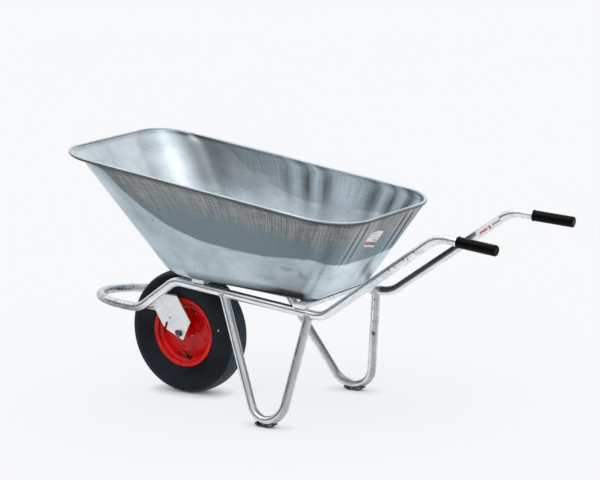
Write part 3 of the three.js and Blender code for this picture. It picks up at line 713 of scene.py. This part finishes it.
# Painted shade under the curl and painted light on top of it.
CURL_LOW, CURL_HIGH = 0.05, 1.0  # tone under the curl and on top of it
RIM_SHAPE = {"rear": 768, "front": -292, "half": 288.5, "front_radius": 122, "rear_radius": 142}
WALL_SHAPE = {**RIM_SHAPE, "front_radius": 165, "rear_radius": 115}
BASE_SHAPE = {"rear": 582, "front": -19, "half": 175, "front_radius": 150, "rear_radius": 60}
REAR_STEPS, ARC_STEPS, SIDE_STEPS, FRONT_STEPS = 46, 20, 44, 30

# How high the draw line runs, as a share of the wall, at stations from front to rear.
LINE_OUTSIDE = [(0.0, 0.93), (0.02, 0.80), (0.07, 0.66), (0.16, 0.53), (0.24, 0.48), (0.34, 0.445),
                (0.50, 0.425), (0.63, 0.425), (0.74, 0.435), (0.84, 0.46), (0.93, 0.49), (1.0, 0.51),
                (1.12, 0.527), (1.28, 0.52), (1.5, 0.49), (2.2, 0.435), (3.0, 0.42)]
LINE_INSIDE = [(0.10, 1.02), (0.15, 0.90), (0.20, 0.82), (0.27, 0.76), (0.35, 0.70), (0.43, 0.665),
               (0.54, 0.645), (0.67, 0.65), (0.81, 0.675), (0.95, 0.71), (3.0, 0.62)]


def outline(rear, front, half, front_radius, rear_radius, inset=0.0):
    """Points round a rounded rectangle, anticlockwise from the middle of its rear edge."""
    corners = [(rear - rear_radius, half - rear_radius, rear_radius, 0),
               (front + front_radius, half - front_radius, front_radius, 1),
               (front + front_radius, front_radius - half, front_radius, 2),
               (rear - rear_radius, rear_radius - half, rear_radius, 3)]
    arcs = []
    for x, y, radius, quarter in corners:
        angles = (quarter + np.linspace(0, 1, ARC_STEPS + 1)) * math.pi / 2
        reach = radius - inset
        arcs.append(np.stack([x + reach * np.cos(angles), y + reach * np.sin(angles)], 1))

    def straight(a, b, steps):
        return a + (b - a) * (np.arange(1, steps) / steps)[:, None]

    middle = (arcs[3][-1] + arcs[0][0]) / 2
    return np.concatenate([
        middle[None], straight(middle, arcs[0][0], REAR_STEPS), arcs[0],
        straight(arcs[0][-1], arcs[1][0], SIDE_STEPS), arcs[1],
        straight(arcs[1][-1], arcs[2][0], FRONT_STEPS), arcs[2],
        straight(arcs[2][-1], arcs[3][0], SIDE_STEPS), arcs[3],
        straight(arcs[3][-1], middle, REAR_STEPS),
    ])


def stations():
    """Where each outline point is: 0 to 1 along a side from front to rear, above 1 towards the middle
    of the rear edge and below 0 towards the middle of the front edge."""
    rear = 2 + np.arange(REAR_STEPS, 0, -1) / REAR_STEPS
    rear_arc = 1 + np.linspace(1, 0, ARC_STEPS + 1)
    side = np.arange(SIDE_STEPS - 1, 0, -1) / SIDE_STEPS
    front_arc = -np.linspace(0, 1, ARC_STEPS + 1)
    to_front = -1 - np.arange(1, FRONT_STEPS // 2 + 1) / (FRONT_STEPS / 2)
    right = np.concatenate([rear, rear_arc, side, front_arc, to_front])
    left = right[1:-1][::-1]
    return np.concatenate([right, left])


STATION = stations()


def rim_ring(inset, lift, shape=RIM_SHAPE):
    flat = outline(**shape, inset=inset)
    return np.column_stack([flat, RIM_Z + RIM_SLOPE * flat[:, 0] + lift])


def base_ring(inset):
    flat = outline(**BASE_SHAPE, inset=inset)
    return np.column_stack([flat, BASE_Z + RAIL_SLOPE * flat[:, 0] + inset])


def toward(start, end, reach):
    gap = end - start
    return start + gap * (reach / np.linalg.norm(gap, axis=1))[:, None]


def hump(value, middle, width):
    """A soft band: 1 at its middle and almost 0 two widths away."""
    return np.exp(-(((value - middle) / width) ** 2))


RIB_TOPS = (111, 150)  # distance of each rib from the middle of the rear wall, near the rim
RIB_DRIFT = 16  # how far it would close towards the middle over the whole height
RIB_LOW, RIB_HIGH = 0.40, 0.97  # height shares between which the ribs stand out
RIB_HEIGHT, RIB_WIDTH = 3.4, 5.5


def rib_fade(share):
    """How far the ribs stand out at this height: 0 beyond their ends, 1 along the middle."""
    return max(0.0, min(1.0, (share - RIB_LOW) / 0.12, (RIB_HIGH - share) / 0.06))


def rib_places(share):
    """Distance of each rib from the middle at this height."""
    return [top - RIB_DRIFT * (0.95 - share) for top in RIB_TOPS]


def swages(ring, share):
    """Two pressed ribs on each side of the rear wall, pushed out at this share of its height."""
    fade = rib_fade(share)
    ring = ring.copy()
    for line in rib_places(share):
        push = RIB_HEIGHT * fade * hump(np.abs(ring[:, 1]), line, RIB_WIDTH)
        ring[:, 0] += np.where(STATION > 1.3, push, 0)
    return ring


def skin(inset, rim_inset):
    """Rings of one face of the sheet from the floor to the rim, and the height share of each."""
    base = base_ring(inset)
    top = rim_ring(rim_inset, 0, WALL_SHAPE)
    rim = rim_ring(rim_inset, 0)
    middle_x = (BASE_SHAPE["rear"] + BASE_SHAPE["front"]) / 2
    middle = np.array([middle_x, 0, BASE_Z + RAIL_SLOPE * middle_x + inset])
    floor_end = toward(base, np.broadcast_to(middle, base.shape), CORNER)
    wall_end = toward(base, top, CORNER)
    rings = [(middle + (floor_end - middle) * s, 0.0) for s in FLOOR_STEPS]
    for s in np.linspace(0, 1, 9):
        curve = floor_end * (1 - s) ** 2 + base * 2 * s * (1 - s) + wall_end * s**2
        rings.append((curve, CORNER_SHARE * s))
    heights = np.linalg.norm(top - base, axis=1)
    start = CORNER / heights
    low = CORNER / heights.mean()
    for s in np.linspace(low, LIP_START, 30)[1:]:
        share = start + (LIP_START - start) * (s - low) / (LIP_START - low)
        rings.append((swages(base + (top - base) * share[:, None], s), s))
    for s in np.linspace(LIP_START, 1, 7)[1:]:
        turn = ease(s, LIP_START, 1)
        rings.append((swages(base + (top - base) * s, s) * (1 - turn) + rim * turn, s))
    return rings


def rib_painted_light(y, share):
    """Painted highlight along each rib of the rear wall, with a painted shade line beside it."""
    tone = np.zeros_like(y)
    for line in rib_places(share):
        off = np.sign(-y) * line + y
        tone += 1.4 * hump(off, 2, 4.5) - 0.66 * hump(off, -9, 7) + 0.6 * hump(off, -20, 5)
    return np.where(STATION > 1.3, tone * rib_fade(share), 0)


# Painted bands of light (above 0) and shade (below 0): strength, station and width, height and width.
OUTSIDE_BANDS = [(-0.8, 1.02, 0.24, 0.0, 0.11), (-0.3, 0.94, 0.15, 0.12, 0.24),
                 (-0.14, 1.02, 0.2, 0.75, 0.35), (-0.25, 0.0, 0.1, 0.75, 0.4),
                 (-0.2, 1.45, 0.1, 0.7, 0.35), (0.12, 1.25, 0.1, 0.6, 0.4),
                 (0.42, 2.3, 0.7, 0.3, 0.26), (0.2, 2.4, 0.6, 0.75, 0.3)]
INSIDE_BANDS = [(0.3, 0.34, 0.22, 0.52, 0.16), (0.26, 0.08, 0.2, 0.48, 0.16)]
# Painted shade (dark) and painted light (light) of flutes in the inside's rear half: strength, station and
# width.
FLUTE_PAINTED_SHADES = [(-0.4, 0.41, 0.022), (-0.98, 0.52, 0.026), (-0.95, 0.62, 0.028), (-0.95, 0.86, 0.034),
               (-1.0, 0.95, 0.019), (-1.0, 1.14, 0.12), (-0.9, 1.6, 0.16)]
FLUTE_PAINTED_LIGHTS = [(0.34, 0.46, 0.02), (0.34, 0.57, 0.02), (0.34, 0.72, 0.05), (0.34, 0.905, 0.014),
                (0.34, 0.99, 0.014), (0.34, 1.34, 0.08)]
INSIDE_BANDS += [(*flute, 0.82, 0.2) for flute in FLUTE_PAINTED_SHADES]
INSIDE_BANDS += [(*flute, 0.8, 0.25) for flute in FLUTE_PAINTED_LIGHTS]
DARKEST = 0.06


def band_tone(bands, share):
    """The tone at every station of a ring at this height share."""
    tone = np.ones_like(STATION)
    for strength, station, width, height, reach in bands:
        tone += strength * hump(STATION, station, width) * hump(share, height, reach)
    return tone


def outside_tone(ring, share):
    """Painted light and shade of the outside: painted shade at the low rear corners, along the foot of the
    sides and under the curl, and painted light and shade by the ribs.
    """
    y = ring[:, 1]
    on_rear = STATION > 1.5
    tone = band_tone(OUTSIDE_BANDS, share)
    along_side = (STATION > 0) * np.clip((1.4 - STATION) / 0.2, 0, 1)
    tone -= 0.74 * along_side * hump(share, 0.026, 0.026)
    tone -= 0.42 * hump(STATION, 1.2 + 0.5 * (share - 0.3), 0.1) * hump(share, 0.3, 0.2)
    tone -= 0.85 * hump(y, 50, 18) * on_rear * hump(share, 0.28, 0.13)
    tone += 0.5 * hump(y, -75, 10) * on_rear * hump(share, 0.8, 0.3)
    tone += rib_painted_light(y, share)
    tone -= 0.62 * hump(share, 0.968, 0.018)
    return np.maximum(tone, DARKEST)


def inside_tone(share):
    """Painted light and shade of the inside: painted flute shading in the rear half, a painted bright
    reflection sweeping the front corners, and painted shade under the curl and round the floor.
    """
    high = np.clip((share - 0.42) / 0.22, 0, 1)
    tone = band_tone(INSIDE_BANDS, share)
    tone += 0.34 * hump(STATION, -0.56, 0.1) - 0.08 * hump(STATION, -0.9, 0.14) + 0.08 * (STATION < -1)
    tone -= (0.2 + 0.44 * high) * hump(STATION, -0.22, 0.17)
    tone -= 0.38 * high * hump(STATION, 0.03, 0.12)
    tone -= 0.12 * hump(STATION, 0.2, 0.16) * (share > 0.8)
    tone += 0.34 * np.clip((STATION - 0.3) / 0.3, 0, 1) * hump(share, 0.85, 0.3)
    tone -= 0.4 * hump(share, 0.975, 0.012) + 0.3 * hump(share, 0.0, 0.1)
    return np.maximum(tone, DARKEST)


def spread(ring):
    """The mean distance of a ring from its own middle."""
    return np.linalg.norm(ring[:, :2] - ring[:, :2].mean(0), axis=1).mean()


def sheet_rings():
    """Rings round the sheet, from the middle of the floor up the inside, round the curl and down the
    outside: places, height share (on the curl 1 at its bottom and 3 on its top) and 1 on the inside."""
    rings = [(ring, share, 1.0) for ring, share in skin(SHEET_THICKNESS, CURL)]
    degrees = np.linspace(180, -140, 17)
    for radius, turns in ((CURL, degrees[1:]), (CURL - SHEET_THICKNESS, degrees[::-1])):
        for angle in np.radians(turns):
            ring = rim_ring(-radius * math.cos(angle), radius * math.sin(angle))
            rings.append((ring, 2.0 + math.sin(angle), 1.0))
    outer = skin(0, CURL - SHEET_THICKNESS)
    return rings + [(ring, share, 0.0) for ring, share in reversed(outer[:-1])]


def draw_line(points, front):
    """Height of the draw line at every station; in front of the first one it climbs off the sheet."""
    station, level, slope = front
    climb = level + (station - STATION) * slope
    return np.where(STATION < station, climb, np.interp(STATION, *zip(*points)))


def build_tub():
    columns = len(STATION)
    walls = outline(**RIM_SHAPE)
    steps = np.linalg.norm(np.roll(walls, -1, 0) - walls, axis=1)
    run = np.concatenate([[0], np.cumsum(steps)[:-1]]) / steps.sum() * 2 * math.pi
    wheel = steps.sum() / (2 * math.pi) * MM
    rings = sheet_rings()
    floor_edge = spread(rings[len(FLOOR_STEPS)][0])
    line_out = draw_line(LINE_OUTSIDE, (0.0, 0.95, 3))
    line_in = draw_line(LINE_INSIDE, (0.1, 1.02, 2))
    verts, zone, tone, inside, lay = [], [], [], [], []
    for ring, share, within in rings:
        verts += [at(*p) for p in ring]
        near = spread(ring) / floor_edge if share < 1e-6 else 1.0
        # Painted light and shade of each ring, faded towards the middle of the floor.
        if share > 1.0 + 1e-6:
            zone += [-1.0] * columns
            climb = ((share - 1.0) / 2) ** 2.2
            level = np.full(columns, CURL_LOW + (CURL_HIGH - CURL_LOW) * climb)
        else:
            zone += list(share - (line_in if within else line_out))
            level = inside_tone(share) if within else outside_tone(ring, share)
        tone += list(level.mean() + (level - level.mean()) * near**2)
        inside += [within] * columns
        height = WALL_RUN * min(share, 1.0)
        lay += [(wheel * near * math.cos(a), wheel * near * math.sin(a), height) for a in run]
    faces = grid_faces(len(rings), columns)
    last = (len(rings) - 1) * columns
    faces += [list(range(columns)), [last + j for j in range(columns)]]
    layers = {"zone": zone, "tone": tone, "inside": inside, "lay": lay}
    return piece("pressed_tub", verts, faces, SHEET, "barrow", ["tub"], layers, crease=70)


build_tub()


def rear_wall(across, up):
    """A place just outside the rear wall, from its middle line and up its slope."""
    low = np.array([BASE_SHAPE["rear"], 0, BASE_Z + RAIL_SLOPE * BASE_SHAPE["rear"]])
    high = np.array([WALL_SHAPE["rear"] - CURL, 0, RIM_Z + RIM_SLOPE * WALL_SHAPE["rear"]])
    slope = (high - low) / np.linalg.norm(high - low)
    out = np.array([slope[2], 0, -slope[0]])
    return low + slope * up + np.array([0, across, 0]) + out * 0.5


def film(name, centre, width, height, tilt, material):
    """A printed film stuck on the rear wall."""
    verts, lay = [], []
    columns, rows = 9, 7
    for i in range(rows):
        for j in range(columns):
            u, v = j / (columns - 1), i / (rows - 1)
            a, b = (u - 0.5) * width, (v - 0.5) * height
            across = centre[0] + a * math.cos(tilt) + b * math.sin(tilt)
            up = centre[1] - a * math.sin(tilt) + b * math.cos(tilt)
            verts.append(at(*rear_wall(across, up)))
            lay.append((u, v, 0))
    faces = grid_faces(rows, columns, wrap_columns=False)
    return piece(name, verts, faces, material, "barrow", attributes={"lay": lay})


WHITE, PALE = rgb(236, 238, 238), rgb(205, 210, 210)
LABEL_RED, LABEL_GREEN, LABEL_DARK = rgb(206, 92, 88), rgb(128, 172, 152), rgb(96, 112, 110)
LABEL_TILT = math.radians(14)
film("tub_label", (-29, 236), 80, 42, LABEL_TILT,
     printed("label_print", [((0.1, 0.62, 0.62, 0.8), PALE), ((0.1, 0.9, 0.36, 0.46), PALE),
                             ((0.55, 0.92, 0.1, 0.22), LABEL_GREEN)], WHITE))
film("tub_label_band", (-32, 207), 74, 12, LABEL_TILT,
     printed("band_print", [((0.45, 1.0, 0.0, 1.0), LABEL_DARK)], LABEL_RED))
film("tub_label_strip", (-28, 196.5), 80, 6, LABEL_TILT,
     printed("strip_print", [((0.3, 0.55, 0.3, 0.6), PALE)], WHITE))


def handle_sticker():
    """A printed band on the inner side of the right handle."""
    rows, columns = 25, 13
    start, end = HANDLE_BEND.lerp(RAIL_REAR, 0.08), HANDLE_BEND.lerp(RAIL_REAR, 0.27)
    axis = (end - start).normalized()
    facing = (Vector((0, -1, 0)) - axis * axis.dot(Vector((0, -1, 0)))).normalized()
    other = axis.cross(facing)
    verts, lay = [], []
    for i in range(rows):
        centre = start.lerp(end, i / (rows - 1))
        for j in range(columns):
            angle = math.radians(-75 + 120 * j / (columns - 1))
            out = facing * math.cos(angle) + other * math.sin(angle)
            verts.append(centre + out * ((TUBE_RADIUS + 0.15) * MM))
            lay.append((i / (rows - 1), j / (columns - 1), 0))
    blocks = [((0.0, 0.34, 0.44, 0.62), LABEL_GREEN), ((0.42, 0.5, 0.3, 0.66), LABEL_RED),
              ((0.56, 0.88, 0.42, 0.62), LABEL_RED)]
    faces = grid_faces(rows, columns, wrap_columns=False)
    print_on_it = printed("sticker_print", blocks, WHITE)
    piece("handle_sticker", verts, faces, print_on_it, "barrow", attributes={"lay": lay})


handle_sticker()

# -------- cross-member ends and tub bolts

RAIL_UP = Vector((math.sin(RAIL_ANGLE), 0, math.cos(RAIL_ANGLE)))
RAIL_ALONG = Vector((math.cos(RAIL_ANGLE), 0, -math.sin(RAIL_ANGLE)))
CROSS_ENDS = (("front", 143, 45, 150), ("rear", 550, 44, 203))  # place along X, width and half length


def on_rails(x, y, up):
    """A place measured in the plane on top of both rails."""
    return at(0, y, RAIL_TOP) + RAIL_ALONG * (x * MM) + RAIL_UP * (up * MM)


def end_plate(name, x, width, y):
    """A thin plate with clipped corners that closes a cross-member's open end."""
    half, top, clip = width / 2 - 0.4, CROSS_HEIGHT - 0.1, 2.5
    line = [(-half, 0.3), (half, 0.3), (half, top - clip), (half - clip, top), (clip - half, top),
            (-half, top - clip)]
    verts = []
    for depth, shrink, squeeze in ((0, 1, 1), (1.6, 1, 1), (2.2, 0.97, 0.96)):
        side = math.copysign(depth, y)
        lift = 0 if shrink == 1 else 0.25
        verts += [on_rails(x + a * shrink, y + side, b * squeeze + lift) for a, b in line]
    faces = grid_faces(3, 6) + [list(range(6)), list(range(12, 18))]
    piece(name, verts, faces, PLATE, "barrow", crease=25)


def rail_weld(name, x, width, y, seed):
    """Two short beads where a cross-member lies on a rail."""
    for k, edge in enumerate((-1, 1)):
        line = [on_rails(x + edge * (width / 2 + 0.6), y + t * 12, 0.6 - 0.02 * (t * 12) ** 2)
                for t in np.linspace(-0.7, 0.7, 12)]
        weld(f"{name}_{k + 1}", line, 2.2, seed + k, closed=False)


for label, x, width, half in CROSS_ENDS:
    rail_y = RAIL_FRONT.lerp(RAIL_REAR, (x - RAIL_FRONT_X) / (RAIL_REAR_X - RAIL_FRONT_X)).y / MM
    for side, sign in (("right", 1), ("left", -1)):
        end_plate(f"{label}_end_plate_{side}", x, width, sign * half)
        rail_weld(f"{label}_weld_{side}", x, width, sign * rail_y, 31)


def tub_bolt(number):
    """A dome-headed bolt through the floor and a cross-member."""
    node = f"tub_bolt_{number}"
    low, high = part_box(node)
    tip, head, dome = -4, 14.1, 4.8  # the tip and the underside of the head, and the height of the head
    origin = (low + high) / 2 - RAIL_UP * ((head + dome + tip) / 2 * MM)
    profile = [(0, tip), (3.2, tip), (4, -3.2)]
    for turn in range(9):
        profile += [(3.7, -2.4 + turn * 1.25), (4, -1.8 + turn * 1.25)]
    profile += [(4, 9.5), (4, head), (9, head), (9, head + 0.6), (8.3, head + 2.2), (6.6, head + 3.6),
                (4, head + 4.5), (0, head + dome)]
    verts, faces = turned(profile, origin, RAIL_UP, 40, closed=False)
    piece(f"{node}_turned", verts, faces, ZINC, "barrow", [node], crease=35)


for number in range(1, 5):
    tub_bolt(number)

# -------- wheel

RIM_LINE = [(20.7, 1.2), (72, 1.2), (80, 4.5), (86, 12), (91, 21), (97.5, 24.5), (100, 27),
            (100, 33.5), (102.5, 36.5), (109, 37.3), (111.5, 38.6)]
TYRE_OUTSIDE = [(102.2, 27), (102.2, 33), (104.5, 35), (111.5, 35.2), (115, 40.5), (131, 47.5),
                (155, 50), (177, 47.5), (191, 40), (198, 26), (200, 9)]
TYRE_INSIDE = [(187, 22), (178, 35), (155, 42), (130, 39), (114, 30), (107, 26)]
GROOVES = (10, 19.5, 29, 38)  # grooves of the tread, from its middle
SIDEWALL_LINES = (122, 170)  # radii of the raised lines
TYRE_STEPS = 144


def rim_half(side):
    """A pressed dish with a rolled bead seat and lip."""
    line = smooth_line(RIM_LINE[:1] + [(46, 1.2), (60, 1.2), (68, 1.2)] + RIM_LINE[1:], 6)
    faces_of_sheet = ([], [])
    for i, point in enumerate(line):
        gap = line[min(i + 1, len(line) - 1)] - line[max(i - 1, 0)]
        across = np.array([-gap[1], gap[0]]) / np.linalg.norm(gap)
        faces_of_sheet[0].append(tuple(point + across))
        faces_of_sheet[1].append(tuple(point - across))
    profile = faces_of_sheet[0] + faces_of_sheet[1][::-1]
    sign = 1 if side == "right" else -1
    verts, faces = turned([(r, sign * y) for r, y in profile], AXLE, ACROSS, 128)
    piece(f"rim_{side}_dish", verts, faces, RED, "wheel", [f"rim_{side}"], crease=50)


def tyre():
    """A smooth sidewall with two raised lines, and a ribbed tread pale on its ribs with dust and painted
    sheen.
    """
    outside = []
    for radius, across in smooth_line(TYRE_OUTSIDE, 18):
        dust_and_sheen = min(1.0, max(0.0, (radius - 188) / 6))
        for groove in GROOVES:
            depth = math.exp(-(((across - groove) / 2) ** 2)) if radius > 176 else 0.0
            radius -= 3.2 * depth
            dust_and_sheen *= 1 - depth
        for place in SIDEWALL_LINES:
            across += 0.45 * math.exp(-(((radius - place) / 1.2) ** 2))
        outside.append((radius, min(across, 49.9), dust_and_sheen))
    inside = [(*p, 0.0) for p in smooth_line(TYRE_INSIDE, 4)]
    tread = [(200, 7, 1), (200, 5, 1), (199, 4.2, 0), (198.3, 3.5, 0), (199, 2.8, 0), (200, 2, 1)]
    profile = outside[:-1] + tread
    profile += [(r, -y, w) for r, y, w in reversed(profile)]
    profile += [(r, -y, w) for r, y, w in reversed(inside)] + inside
    verts, faces = turned([(r, y) for r, y, _ in profile], AXLE, ACROSS, TYRE_STEPS)
    worn_or_sheen = [w for _, _, w in profile for _ in range(TYRE_STEPS)]
    piece("tyre_ribbed", verts, faces, TYRE, "wheel", ["tyre"], {"worn_or_sheen": worn_or_sheen}, crease=60)


def sleeve(node, bore, material, body):
    """A turned ring or shaft that fills a CAD node's box along the axle."""
    chamfer = 0.8
    low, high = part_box(node)
    radius = (high.z - low.z) / 2 / MM
    start, end = (low.y - AXLE.y) / MM, (high.y - AXLE.y) / MM
    profile = [(bore, start), (radius - chamfer, start), (radius, start + chamfer),
               (radius, end - chamfer), (radius - chamfer, end), (bore, end)]
    verts, faces = turned(profile, AXLE, ACROSS, 64, closed=bore > 0)
    piece(f"{node}_turned", verts, faces, material, body, [node], crease=30)


def rivet(number):
    """A rivet through both rim halves; the paint is off the tip of the first one."""
    node = f"rim_rivet_{number}"
    low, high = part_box(node)
    half = [(3, 0), (3, 2.5), (6.2, 2.5), (6, 3.4), (4.8, 4.8), (2.8, 5.5), (0, 5.5)]
    profile = [(r, -y) for r, y in reversed(half)] + half[1:]
    verts, faces = turned(profile, (low + high) / 2, ACROSS, 28, closed=False)
    piece(f"{node}_dome", verts, faces, RED, "wheel", [node])
    if number == 1:
        tip = [(0, -5.55), (1.6, -5.5), (2.8, -5.2), (2.9, -4), (0, -4)]
        verts, faces = turned(tip, (low + high) / 2, ACROSS, 24, closed=False)
        piece(f"{node}_bare_tip", verts, faces, ZINC, "wheel")


VALVE_SEAT = Vector((10, -18, -88)) * MM
VALVE_LEAN = Vector((-14, -17, 24.5)).normalized()


def valve():
    """A rubber stem with brass collars and a dark cap, leaning out of the left rim half."""
    origin = AXLE + VALVE_SEAT
    stem = [(0, -39), (4, -39), (4, -6), (8, -4), (8.2, -1.5), (6.4, 0.5), (5.6, 3), (5.4, 8),
            (5.2, 19), (0, 19)]
    collar = [(5, 1.5), (6.8, 1.4), (7.1, 2.2), (6.8, 3.4), (5, 3.6)]
    cap = [(0, 19), (3.4, 19), (3.4, 21.4), (4.5, 21.6), (4.5, 31.5), (3.6, 33), (0, 33)]
    ring = [(2.5, 18.6), (5.6, 18.6), (5.8, 19.4), (5.6, 21), (2.5, 21.2)]
    for name, profile, material, node, slot in (
        ("valve_stem_moulded", stem, BUTYL, "valve_stem", "butyl_rubber"),
        ("valve_collar", collar, BRASS, None, None),
        ("valve_ring", ring, BRASS, None, None),
        ("valve_cap_turned", cap, STEEL, "valve_cap", "dark_steel"),
    ):
        open_ended = profile[0][0] == 0
        verts, faces = turned(profile, origin, VALVE_LEAN, 32, closed=not open_ended)
        piece(name, verts, faces, material, "wheel", [node] if node else (), crease=40)


for side in ("right", "left"):
    rim_half(side)
    sleeve(f"bearing_{side}", 8.4, BUSH, "wheel")
    sleeve(f"axle_spacer_{side}", 8.4, ZINC, "barrow")
tyre()
sleeve("hub_tube", 16.5, RED, "wheel")
sleeve("axle", 0, STEEL, "barrow")
for number in range(1, 5):
    rivet(number)
valve()

# -------- floor, light and camera


FLOOR_REACH = 90  # metres
FLOOR_LOW, FLOOR_HIGH = (0.148, 0.150, 0.152, 1), (0.152, 0.154, 0.156, 1)
FLOOR_GLOW = (0.763, 0.772, 0.787, 1)
# Brightness of the studio from the floor line (0) to overhead (1), towards the shown side of the
# barrow, to both sides of that and behind.
SKY_FRONT = [(0.0, 0.40), (0.12, 0.34), (0.35, 0.50), (0.6, 1.25), (1.0, 1.35)]
SKY_SIDES = [(0.0, 0.07), (0.2, 0.06), (0.45, 0.35), (0.7, 1.15), (1.0, 1.35)]
SKY_BEHIND = [(0.0, 0.95), (0.2, 0.95), (0.5, 1.0), (0.7, 1.2), (1.0, 1.35)]
BACKDROP = rgb(248, 249, 251)
SHOWN_SIDE = (0.5459, -0.8378, 0)


def floor():
    """A pale floor that glows like the backdrop and is darker only where something stands on it."""
    p = Paint("floor_paint")
    cloud = p.noise(p.place(), 0.6, 2)
    colour = p.mix(cloud, FLOOR_LOW, FLOOR_HIGH)
    near = p.node("AmbientOcclusion", {"Distance": 0.055}, "AO", samples=8)
    glow = p.math("POWER", near, 0.65)
    material = p.finish(colour, 0.9, Specular_IOR_Level=0.0, Emission_Color=FLOOR_GLOW,
                        Emission_Strength=glow)
    mesh = bpy.data.meshes.new("studio_floor")
    corners = [(x * FLOOR_REACH, y * FLOOR_REACH, GROUND) for x, y in ((-1, -1), (1, -1), (1, 1), (-1, 1))]
    mesh.from_pydata(corners, [], [(0, 1, 2, 3)])
    mesh.materials.append(material)
    obj = bpy.data.objects.new("studio_floor", mesh)
    bpy.context.scene.collection.objects.link(obj)


def sky():
    """A soft studio: bright overhead and behind, grey in front, with dark panels at both sides."""
    world = bpy.data.worlds.new("studio")
    bpy.context.scene.world = world
    p = Paint("studio", world)
    place = p.node("TexCoord", {}, "Generated")
    height = p.node("SeparateXYZ", {0: place}, 2)

    def ramp(stops):
        colour = p.node("ValToRGB", {"Fac": height}, "Color")
        made = colour.node.color_ramp
        made.interpolation = "EASE"
        while len(made.elements) < len(stops):
            made.elements.new(0.5)
        for element, (position, value) in zip(made.elements, stops):
            element.position = position
            element.color = (value * 0.985, value * 0.995, value * 1.01, 1)
        return colour

    level = p.node("VectorMath", {0: p.scaled(place, (1, 1, 0))}, operation="NORMALIZE")
    facing = p.node("VectorMath", {0: level, 1: SHOWN_SIDE}, "Value", operation="DOT_PRODUCT")
    around = p.mix(p.span(facing, 0.45, 0.7), ramp(SKY_SIDES), ramp(SKY_FRONT))
    around = p.mix(p.span(facing, -0.6, -0.3), ramp(SKY_BEHIND), around)
    studio = p.node("Background", {"Color": around})
    backdrop = p.node("Background", {"Color": BACKDROP})
    seen = p.node("LightPath", {}, "Is Camera Ray")
    p.node("OutputWorld", {"Surface": p.node("MixShader", {0: seen, 1: studio, 2: backdrop})})


def direction(azimuth, elevation):
    """The way to something at these angles in radians: azimuth 0 is towards -Y and 90 degrees +X."""
    level = math.cos(elevation)
    return Vector((math.sin(azimuth) * level, -math.cos(azimuth) * level, math.sin(elevation)))


def sun(name, strength, size, azimuth, elevation):
    data = bpy.data.lights.new(name, "SUN")
    data.energy = strength
    data.angle = math.radians(size)
    obj = bpy.data.objects.new(name, data)
    back = direction(math.radians(azimuth), math.radians(elevation))
    obj.rotation_euler = back.to_track_quat("Z", "Y").to_euler()
    bpy.context.scene.collection.objects.link(obj)


CAMERA_ANGLES = (33.09, 11.21, -1.34)  # azimuth, elevation and roll
CAMERA_DISTANCE = 8.354
CAMERA_AIM = Vector((-0.0269, 0, 0.128))  # from the middle of the barrow
CAMERA_LENS = 162.56


def camera():
    azimuth, elevation, roll = (math.radians(a) for a in CAMERA_ANGLES)
    aim = (cad_low + cad_high) / 2 + CAMERA_AIM
    back = direction(azimuth, elevation)
    right = (-back).cross(Vector((0, 0, 1))).normalized()
    up = right.cross(-back)
    turned_right = right * math.cos(roll) + up * math.sin(roll)
    turned_up = up * math.cos(roll) - right * math.sin(roll)
    data = bpy.data.cameras.new("photo_camera")
    data.lens = CAMERA_LENS
    data.sensor_width = 36
    data.clip_end = 400
    obj = bpy.data.objects.new("photo_camera", data)
    basis = Matrix((turned_right, turned_up, back)).transposed().to_4x4()
    basis.translation = aim + back * CAMERA_DISTANCE
    obj.matrix_world = basis
    bpy.context.scene.collection.objects.link(obj)
    bpy.context.scene.camera = obj


floor()
sky()
sun("key", strength=0.35, size=30, azimuth=-35, elevation=60)
camera()
bpy.context.scene.view_settings.view_transform = "Standard"
bpy.context.scene.view_settings.look = "None"
